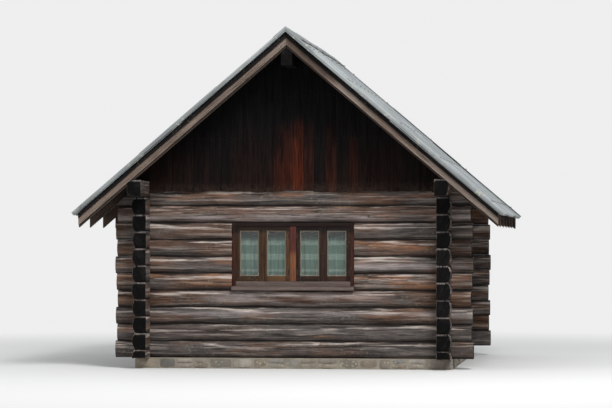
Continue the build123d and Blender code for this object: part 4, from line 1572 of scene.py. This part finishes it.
look, tree = new_look("putty")
where = object_place(tree)
blotch = speckle(where, scale=24, detail=5)
line = window(cracks_between(where, 45), 0.05, 0)
colour = blend(blotch, rgb(84, 76, 66), rgb(148, 140, 124))
colour = blend(line * 0.7, colour, rgb(52, 46, 40))
putty = finish_look(look, colour, window(blotch, 0, 1, 0.8, 0.65), blotch - line, depth=0.001)

# %% Fillets of putty
GLASS_FRONT, SASH_FRONT = -1.9455, -1.955
SASH_FOOT, SASH_HEAD, FOOT_RAIL = 1.119, 1.82, 0.078
REBATE_EDGE, PUTTY_EDGE = 0.0525, 0.0635  # from the casement's edge: rebate, putty on the glass
BEDDING = 0.0002  # putty stands this far off the glass


def fillet(left, right):
    """A three-sided rim of putty round one pane."""
    corners = []
    bed = GLASS_FRONT - BEDDING
    for inset, y in ((REBATE_EDGE, SASH_FRONT + 0.001), (REBATE_EDGE, bed), (PUTTY_EDGE, bed)):
        low, high = SASH_FOOT + FOOT_RAIL - STILE + inset, SASH_HEAD - inset
        west, east = left + inset, right - inset
        corners += [(west, y, low), (east, y, low), (east, y, high), (west, y, high)]
    faces = []
    for ring in range(3):
        beyond = (ring + 1) % 3
        for i in range(4):
            j = (i + 1) % 4
            faces.append((ring * 4 + i, ring * 4 + j, beyond * 4 + j, beyond * 4 + i))
    outwards = volume(corners, faces) > 0
    return corners, faces if outwards else [face[::-1] for face in faces]


heap = Heap()
for left, right in casements:
    corners, faces = fillet(left, right)
    heap.add(corners, faces, corners, [(0, 0, 0)] * len(corners), EVEN_TONE)
show("window_putty", heap, "window_wood", putty)

# %% [markdown]
# ## Hinges and turn-buttons
#
# Each casement turns on two small butt hinges, and a turn-button holds each pair shut. Both are a few
# rounded blocks and pins, made once, and a tree puts copies of them at their places.

# %% Tree of the fittings
given = geometry_tree("copies_of_a_part", {"Part": "Object", "Look": "Material"})
part = wire("GeometryNodeObjectInfo", {"Object": given["Part"]}, out="Geometry")
copies_of_a_part = end_tree(copies_at(given["Geometry"], part), given["Look"])


def solid_block(form, low, high):
    made = bmesh.ops.create_cube(form, size=1)["verts"]
    bmesh.ops.scale(form, vec=Vector(high) - Vector(low), verts=made)
    bmesh.ops.translate(form, vec=(Vector(high) + Vector(low)) / 2, verts=made)


def pin(form, radius, height, middle):
    made = bmesh.ops.create_cone(
        form, cap_ends=True, segments=12, radius1=radius, radius2=radius, depth=height)
    bmesh.ops.translate(form, vec=middle, verts=made["verts"])


def scatter(name, form, places):
    """Black iron copies of a small form."""
    verts, faces = in_order(form)
    part = placed(name + "_part", plain_mesh(name, [v.co for v in verts], faces))
    form.free()
    made = grow(name, plain_mesh(name, places), copies_of_a_part, {"Part": part, "Look": black_iron})
    bpy.data.objects.remove(part)
    return show(name, made, "door_iron", black_iron)

# %% Butt hinges
hinge = bmesh.new()
for left, right in ((-0.024, -0.004), (0.004, 0.024)):
    solid_block(hinge, (left, -0.0025, -0.032), (right, 0.0, 0.032))
bevelled(hinge, hinge.edges[:], 0.0007)
for z in (-0.022, 0.0, 0.022):
    pin(hinge, 0.0055, 0.0205, (0, -0.003, z))
hinge_places = []
for number, (left, right) in enumerate(casements):
    hung_at = left if number % 2 == 0 else right
    hinge_places += [(hung_at, SASH_FRONT - 0.0005, z) for z in (1.24, 1.70)]
scatter("casement_hinges", hinge, hinge_places)

# %% Turn-buttons
button = bmesh.new()
solid_block(button, (-0.011, -0.003, -0.028), (0.011, 0.0, 0.028))
solid_block(button, (-0.032, -0.013, -0.007), (0.032, -0.008, 0.007))
solid_block(button, (-0.005, -0.009, -0.005), (0.005, -0.002, 0.005))
bevelled(button, button.edges[:], 0.0012)
meeting_stiles = [casements[number][1] for number in (0, 2)]
scatter("casement_buttons", button, [(x + 0.0005, SASH_FRONT - 0.0003, 1.47) for x in meeting_stiles])

# %% [markdown]
# ## Curtains
#
# Behind each casement a short curtain of thin grey-green cotton is gathered on a rod. Its weave is drawn on
# the flat cloth, in metres: two crossed sines make the threads, and three bands of open work lie across it. A
# shadow is painted across the top, and the hem is darker where the cloth is doubled.

# %% Cotton
THREAD = 0.0016
BANDS = ((0.13, 0.035), (0.30, 0.045), (0.465, 0.02))  # from the top: middle, half width
look, tree = new_look("thin_cotton", **{"Sheen Weight": 0.2})
cloth = wire("ShaderNodeUVMap", tree=tree, uv_map="cloth")
across, down, _ = parts_of(cloth)
weave = (across * (2 * pi / THREAD)).sine() * (down * (2 * pi / THREAD)).sine()
cloud = speckle(cloth, scale=8, detail=4)
bands = None
for middle, half in BANDS:
    band = window(abs(down - middle), half, half * 0.6)
    bands = bands.or_more(band) if bands else band
threadwork = bands * window(cracks_between(cloth, 55), 0.16, 0.05, 0.35, 1)
colour = blend(cloud, rgb(96, 122, 112), rgb(128, 150, 140))
colour = blend(threadwork * 0.7, colour, rgb(186, 198, 192))
colour = blend(window(weave, -1, 1, 0, 0.12), colour, rgb(70, 92, 84))
# painted shadow across the top of the curtain
colour = blend(window(down + cloud * 0.05, 0.17, 0.06) * 0.92, colour, rgb(14, 26, 22))
colour = blend(window(down, 0.53, 0.545) * 0.4, colour, rgb(80, 100, 92))
relief = weave * 0.4 + threadwork
thin_cotton = finish_look(look, colour, window(cloud, 0, 1, 0.95, 0.85), relief, depth=0.0005)

# %% [markdown]
# A curtain is a flat strip, wider than the space it fills, with a sleeve sewn along its top that the rod
# runs through. A cloth simulation would give such folds too, but for so small a curtain a rule gives
# cleaner ones: many fine folds at the sleeve, fewer and deeper ones below. The side view is a path up
# from the hem and round the rod.

# %% Side view and folds of a curtain
ROD_Y, ROD_Z, ROD_RADIUS = -1.817, 1.7035, 0.006
CURTAIN_FOOT = 1.16
HANGING_LENGTH = 0.53  # foot to rod, measured on the cloth
COLUMNS = 80
FOLDS = (5, 6, 5, 4)
FOLD_DEPTH, GATHER_DEPTH, SWAY = 0.0115, 0.0042, 0.006
SLEEVE_TURN, SLEEVE_STEPS = 300, 14


def side_view():
    """Points up a curtain: length from its foot, out from the rod's middle, height."""
    top = ROD_Z - 0.014
    for z in np.linspace(CURTAIN_FOOT, top, 30):
        yield z - CURTAIN_FOOT, None, z
    radius = ROD_RADIUS + 0.0022
    step = radius * radians(SLEEVE_TURN / SLEEVE_STEPS)
    for number, angle in enumerate(np.radians(np.linspace(-60, 240, SLEEVE_STEPS + 1))):
        length = top - CURTAIN_FOOT + step * (number + 1)
        yield length, -radius * cos(angle), ROD_Z + radius * sin(angle)


def point_of_cloth(number, share, length, out, z, left, width):
    """A point of a curtain, at a share of its width and a length from its foot."""
    hang = 1 - min(1.0, length / HANGING_LENGTH)
    low_down = min(1.0, hang / 0.45)
    folds = 2 * pi * FOLDS[number]
    phase = folds * (share + 0.025 * noise.noise(Vector((share * 3, hang * 1.5, number))))
    fine = folds * 2.3 * share + number
    deep = FOLD_DEPTH * low_down * (0.85 + 0.4 * noise.noise(Vector((share * 5, hang, number + 7))))
    fold = deep * sin(phase) + GATHER_DEPTH * (1 - low_down) * sin(fine)
    sway = SWAY * (hang - 0.5) * noise.noise(Vector((hang * 2, number, 4)))
    x = left + width * share + sway + 0.3 * deep * cos(phase)
    if out is None:
        return Vector((x, ROD_Y - 0.003 + fold, z + 0.002 * sin(phase) * hang))
    return Vector((x, ROD_Y + out * (1 + 0.1 * sin(fine)), z))


print("points up a curtain:", len(list(side_view())))

# %% [markdown]
# Measured along a row, the folds give the width that the strip was cut to. The cloth's own map is laid
# out in those metres, so the threads keep their size in every fold. A Solidify modifier gives the cloth
# its thickness.

# %% Hang the curtains
CLOTH_THICKNESS = 0.0008
CURTAIN_INSET = 0.016


def curtain(number, left, right):
    width = right - left
    path = list(side_view())
    total = path[-1][0]
    wide = COLUMNS + 1
    rows = [[point_of_cloth(number, column / COLUMNS, *place, left, width) for column in range(wide)]
            for place in path]
    uv = [(column / COLUMNS, total - place[0]) for place in path for column in range(wide)]
    flat_width = float(np.median([sum((b - a).length for a, b in pairwise(row)) for row in rows]))
    faces = [(r * wide + c, r * wide + c + 1, (r + 1) * wide + c + 1, (r + 1) * wide + c)
             for r in range(len(path) - 1) for c in range(COLUMNS)]
    mesh = plain_mesh("curtain", [point for row in rows for point in row], faces)
    layer = mesh.uv_layers.new(name="cloth")
    for loop in mesh.loops:
        u, v = uv[loop.vertex_index]
        layer.data[loop.index].uv = (u * flat_width, v)
    mesh.polygons.foreach_set("use_smooth", [True] * len(mesh.polygons))
    piece = show(f"curtain_{number + 1}", mesh, "curtain_cloth", thin_cotton, node="window_curtains")
    thick = piece.modifiers.new("cloth_thickness", "SOLIDIFY")
    thick.thickness = CLOTH_THICKNESS
    thick.offset = 0.0
    print(f"  cut {flat_width:.3f} by {total:.3f} m for a space {width:.3f} m wide")


for number, (left, right) in enumerate(casements):
    curtain(number, left + CURTAIN_INSET, right - CURTAIN_INSET)

# %% Curtain rod
def repaint(node, look):
    """Gives a solid that stays a material of its own."""
    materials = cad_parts[node].data.materials
    materials.clear()
    materials.append(look)
    print(node, "keeps its shape and gets", look.name)


repaint("curtain_rod", metal_look("rod_paint", (96, 88, 74), (136, 126, 108), (92, 62, 44), metallic=0.2))


# %% [markdown]
# ## The door in the back gable wall
#
# The photograph shows no door, so the cabin gets the usual one: a low plank door in the wall that can't
# be seen. Six planks are held by two ledges across the inside and hung on two forged straps. Each plank
# is clipped from the leaf's solid and shaded by itself.

# %% Door leaf
PLANKS = 6
HALF_LEAF = 0.4165
LEDGES_FRONT = 2.336  # where the planks end and the ledges begin
PLANK_JOINT = 0.0012
plank_edges = np.linspace(-HALF_LEAF, HALF_LEAF, PLANKS + 1)
leaf = whole_faces("door_leaf")
heap = Heap()
for number, (left, right) in enumerate(pairwise(plank_edges)):
    low_x = left + PLANK_JOINT if number else None
    high_x = right - PLANK_JOINT if number < PLANKS - 1 else None
    plank = between(leaf, (low_x, LEDGES_FRONT + FINE_LINE, None), (high_x, None, None))
    set_back = -0.0015 * (number % 3) / 2
    bmesh.ops.translate(plank, verts=plank.verts, vec=(0, set_back, 0))
    dress(heap, plank, UP, random_tone(number + 50), bevel=0.003, wobble=0.001)
for number, ledge in enumerate(islands(between(leaf, OPEN, (None, LEDGES_FRONT - FINE_LINE, None)))):
    dress(heap, ledge, ACROSS, random_tone(number + 60), bevel=0.006)
show("door_planks", heap, "door_wood", door_wood, node="door_leaf")

# %% Door frame and iron
DOORWAY_INSIDE = 0.4195
IN_THE_DOORWAY = (0.4105, 1.9995)  # two heights between threshold and head
heap = Heap()
joinery(heap, whole_faces("door_frame"), frame_members(DOORWAY_INSIDE, *IN_THE_DOORWAY), 80, bevel=0.004)
show("door_frame_joinery", heap, "door_wood", door_wood, node="door_frame")

for node, along in (("door_hinges", ACROSS), ("door_handle", UP)):
    whole_parts(node + "_forged", node, "door_iron", black_iron, along, None, bevel=0.0012, wobble=0.0008)

# %% [markdown]
# The straps are bolted through leaf and ledge, four bolts along each and two in the plate on the jamb.
# Each plank has two nails in each ledge, one above the strap and one below it.

# %% Bolts and nails of the door
DOOR_FACE = 2.372
STRAP_LEVELS = (0.7213, 1.6987)
STRAP_BOLTS, PLATE_BOLTS = (-0.35, -0.21, -0.07, 0.07), (-0.012, 0.012)
PLATE_X = -0.438
STRAP_FACE = DOOR_FACE + 0.0058
NAIL_INSET, NAIL_RISE = 0.03, 0.042
bolts, nails = [], []
for z in STRAP_LEVELS:
    bolts += [(x, STRAP_FACE, z) for x in STRAP_BOLTS]
    bolts += [(PLATE_X, STRAP_FACE, z + rise) for rise in PLATE_BOLTS]
    for left, right in pairwise(plank_edges):
        nails += [(left + NAIL_INSET, DOOR_FACE - 0.0008, z + NAIL_RISE),
                  (right - NAIL_INSET, DOOR_FACE - 0.0008, z - NAIL_RISE)]
OUTWARDS = (-pi / 2, 0, 0)
studs("door_bolts", bolts, OUTWARDS, (0.009, 0.0016), (0.008, 0.005))
studs("door_nails", nails, OUTWARDS, (0.004, 0.0014), (0.0035, 0.0018))

# %% [markdown]
# ## The stone footing
#
# A low strip of field stones in lime mortar keeps the bottom logs off the ground. The solid strip
# becomes the mortar: its shape stays, and it gets a sandy grey. Each stone has a colour between grey and
# warm, with spots of lichen and splashed earth.

# %% Mortar
look, tree = new_look("lime_mortar")
where = object_place(tree)
sky = use(tree, weather, {"Lichen": 0.3, "Spot size": 0.04})
sand = speckle(where, scale=160, detail=4)
cloud = speckle(where, scale=6, detail=5)
colour = blend(cloud, rgb(118, 110, 98), rgb(164, 156, 142))
colour = blend(window(sand, 0.55, 0.7, 0, 0.5), colour, rgb(86, 80, 72))
colour = blend(sky["Splash"] * 0.35, colour, rgb(92, 82, 70))
lime_mortar = finish_look(look, colour, window(sand, 0, 1, 0.95, 0.85), sand, depth=0.002)
for side in ("front", "back", "left", "right"):
    repaint("footing_" + side, lime_mortar)

# %% Field stone
look, tree = new_look("field_stone")
tone, where = attribute(tree, "tone"), object_place(tree)
shade, warm, _ = parts_of(tone)
sky = use(tree, weather, {"Lichen": 0.8, "Spot size": 0.035})
grit = speckle(where, scale=110, detail=5, roughness=0.7)
cloud = speckle(where + tone, scale=11, detail=5)
grey = blend(shade, rgb(104, 102, 98), rgb(166, 162, 154))
colour = blend(warm * 0.6, grey, rgb(150, 132, 110))
colour = blend(window(cloud, 0.4, 0.7, 0, 0.5), colour, rgb(88, 84, 80))
colour = blend(window(grit, 0.55, 0.75, 0, 0.45), colour, rgb(62, 60, 58))
colour = blend(sky["Lichen"], colour, rgb(170, 172, 150))
colour = blend(sky["Splash"] * 0.25, colour, rgb(88, 78, 66))
field_stone = finish_look(look, colour, window(cloud, 0, 1, 0.92, 0.75), grit * 0.4 + cloud, depth=0.004)

# %% [markdown]
# The stones are rounded blocks that stand a centimetre or two proud of the mortar, one or two to the
# height. A block is drawn nearly halfway to a ball, put at each point of the seedling in the size that
# the point carries, and then pulled out of shape by noise, so no two are alike.

# %% Tree of the stones
given = geometry_tree("stones_in_mortar", {
    "Roundness": "Float", "Unevenness": "Float", "Seed": "Int", "Look": "Material"})
tree = given["Seed"].tree
cube = wire("GeometryNodeMeshCube", {
    "Size": (1, 1, 1), "Vertices X": 7, "Vertices Y": 5, "Vertices Z": 6}, tree=tree)
position = wire("GeometryNodeInputPosition", tree=tree)
ball = wire("ShaderNodeVectorMath", {0: position}, operation="NORMALIZE") * (0.56, 0.56, 0.56)
rounded = wire("ShaderNodeMix", {0: given["Roundness"], 4: position, 5: ball}, out=1, data_type="VECTOR")
block = wire("GeometryNodeSetPosition", {"Geometry": cube, "Position": rounded})
size = wire("GeometryNodeInputNamedAttribute", {"Name": "size"}, tree=tree, data_type="FLOAT_VECTOR")
copies = toned(copies_at(given["Geometry"], block, Scale=size), given["Seed"])
real = wire("GeometryNodeRealizeInstances", {0: copies})
lumps = wire("ShaderNodeTexNoise", {"Vector": position, "Scale": 9.0, "Detail": 2.0}, out="Color")
centred = wire("ShaderNodeVectorMath", {0: lumps, 1: (-0.5, -0.5, -0.5)})
offset = wire("ShaderNodeVectorMath", {0: centred, "Scale": given["Unevenness"]}, operation="SCALE")
moved = wire("GeometryNodeSetPosition", {"Geometry": real, "Offset": offset})
stones_in_mortar = end_tree(wire("GeometryNodeSetShadeSmooth", {0: moved}), given["Look"])

# %% Stones of the footing
FOOTING_OUT = 0.098  # a wall's centre line to the footing's outer face
CORNER_STONES = WALL_X + 0.096  # the front and back rows run to the corners
STONE_THICKNESS, STONE_JOINT = 0.126, 0.016
STONE_SET_IN = 0.052  # the footing's face to the middle of a stone
# One stone to the height, or two: the middle and the height of each.
ONE_COURSE, TWO_COURSES = ((0.068, 0.112),), ((0.037, 0.054), (0.1, 0.056))
FOOTING_FACES = (
    (True, FRONT_Y - FOOTING_OUT, -CORNER_STONES, CORNER_STONES),
    (True, BACK_Y + FOOTING_OUT, -CORNER_STONES, CORNER_STONES),
    (False, -WALL_X - FOOTING_OUT, FRONT_Y + 0.02, BACK_Y - 0.02),
    (False, WALL_X + FOOTING_OUT, FRONT_Y + 0.02, BACK_Y - 0.02))


def stone_places(seed):
    """Middles and sizes of the stones along the four outer faces of the footing."""
    random = np.random.default_rng(seed)
    for along_x, face, start, end in FOOTING_FACES:
        inwards = STONE_SET_IN if face < 0 else -STONE_SET_IN
        place = start
        while place < end - 0.08:
            length = min(float(random.uniform(0.15, 0.34)), end - place)
            along = place + length / 2
            for middle, height in ONE_COURSE if random.uniform() < 0.6 else TWO_COURSES:
                deep = face + inwards + float(random.uniform(-0.004, 0.004))
                size = (length - STONE_JOINT, STONE_THICKNESS, height)
                if along_x:
                    yield (along, deep, middle), size
                else:
                    yield (deep, along, middle), (size[1], size[0], size[2])
            place += length


middles, sizes = zip(*stone_places(17))
seedling = plain_mesh("stone_places", middles)
size_layer = seedling.attributes.new("size", "FLOAT_VECTOR", "POINT")
size_layer.data.foreach_set("vector", np.array(sizes, np.float32).ravel())
stones = grow("footing_stones", seedling, stones_in_mortar, {
    "Roundness": 0.42, "Unevenness": 0.022, "Seed": 4, "Look": field_stone})
show("footing_stones", stones, "footing_stone", field_stone)
print(len(middles), "stones in the footing")


# %% [markdown]
# ## The floor under the cabin
#
# The floor is plain and pale and takes the cabin's shadow. Further off it turns into the backdrop, so
# that no edge shows behind the cabin. Rays that light the scene still meet a plain floor: only the
# camera, a reflection or a pane of glass sees the backdrop.

# %% Floor
BACKDROP = (0.86, 0.86, 0.86, 1)
FLOOR_REACH = 220.0
FLOOR_LEVEL = -0.002
FADES_FROM, FADES_TO = 5.0, 13.0  # distances from the middle of the cabin


def seen_directly(tree):
    """A mask for rays of the camera, of reflections and through glass."""
    rays = wires(add_node("ShaderNodeLightPath", tree=tree))
    return rays["Is Camera Ray"].or_more(rays["Is Glossy Ray"].or_more(rays["Is Transmission Ray"]))


look, tree = new_look("pale_floor")
where = object_place(tree)
cloud = speckle(where, scale=0.6, detail=4)
colour = blend(cloud, (0.78, 0.78, 0.77, 1), (0.82, 0.82, 0.81, 1))
finish_look(look, colour, window(cloud, 0, 1, 0.9, 0.8), speckle(where, scale=90), depth=0.0005)
far_off = seen_directly(tree) * window(length_of(where), FADES_FROM, FADES_TO)
backdrop = wire("ShaderNodeEmission", {0: BACKDROP, 1: 1.0}, tree=tree)
plain = Wire(tree.nodes["Principled BSDF"].outputs[0])
mixed = wire("ShaderNodeMixShader", {0: far_off, 1: plain, 2: backdrop})
tree.links.new(mixed.socket, tree.nodes["Material Output"].inputs[0])

corners = [(x * FLOOR_REACH, y * FLOOR_REACH, FLOOR_LEVEL) for x, y in ((-1, -1), (1, -1), (1, 1), (-1, 1))]
floor_mesh = plain_mesh("floor", corners, [(0, 1, 2, 3)])
floor_mesh.materials.append(look)
placed("floor", floor_mesh)

# %% [markdown]
# ## Light
#
# The world gives soft light from all sides. One large lamp, high to the right, gives the roof's overhang
# its shadow on the gable; a weak one on the left keeps that side from going dull. A lamp's energy
# follows from its distance, so moving it doesn't change how bright the cabin is.

# %% World and lamps
MIDDLE_OF_FRONT = Vector((0, -1, 1.5))


def turned_to(made, place, target):
    """Puts a lamp or camera at a place and turns it to a target."""
    made.location = place
    made.rotation_mode = "QUATERNION"
    made.rotation_quaternion = (Vector(target) - Vector(place)).to_track_quat("-Z", "Y")


def lamp(name, place, size, share):
    """A square lamp that lights a facing surface to a share of its colour."""
    data = bpy.data.lights.new(name, "AREA")
    data.size = size
    data.energy = share * pi ** 2 * (Vector(place) - MIDDLE_OF_FRONT).length_squared
    turned_to(placed(name, data), place, MIDDLE_OF_FRONT)
    print(f"{name}: {data.energy:.0f} W")


world = bpy.data.worlds.new("soft_sky")
scene.world = world
world.use_nodes = True
tree = world.node_tree
tree.nodes.clear()
light = wire("ShaderNodeBackground", {0: (0.95, 0.98, 1.0, 1), 1: 0.55}, tree=tree)
backdrop = wire("ShaderNodeBackground", {0: BACKDROP, 1: 1.0}, tree=tree)
mixed = wire("ShaderNodeMixShader", {0: seen_directly(tree), 1: light, 2: backdrop})
add_node("ShaderNodeOutputWorld", {0: mixed})

lamp("high_key", (7, -13, 15), 6, 0.75)
lamp("side_fill", (-12, -9, 6), 7, 0.12)

# %% [markdown]
# ## Camera
#
# The camera has the photograph's angle, a little from the right and at eye height, and a long lens so
# that the cabin fills the picture.

# %% Camera
CAMERA_PLACE, CAMERA_AIM = Vector((4.19, -34.4, 1.64)), Vector((0.0, -0.6, 2.13))
camera = placed("viewpoint", bpy.data.cameras.new("viewpoint"))
camera.data.sensor_width = 36
camera.data.lens = 150
camera.data.clip_end = 500
turned_to(camera, CAMERA_PLACE, CAMERA_AIM)
scene.camera = camera
scene.view_settings.view_transform = "Standard"
print("camera", round((CAMERA_AIM - CAMERA_PLACE).length, 1), "m away")

# %% [markdown]
# ## The end
#
# The finished cabin has to fit the box of the solids.

# %% The end
bpy.context.view_layer.update()
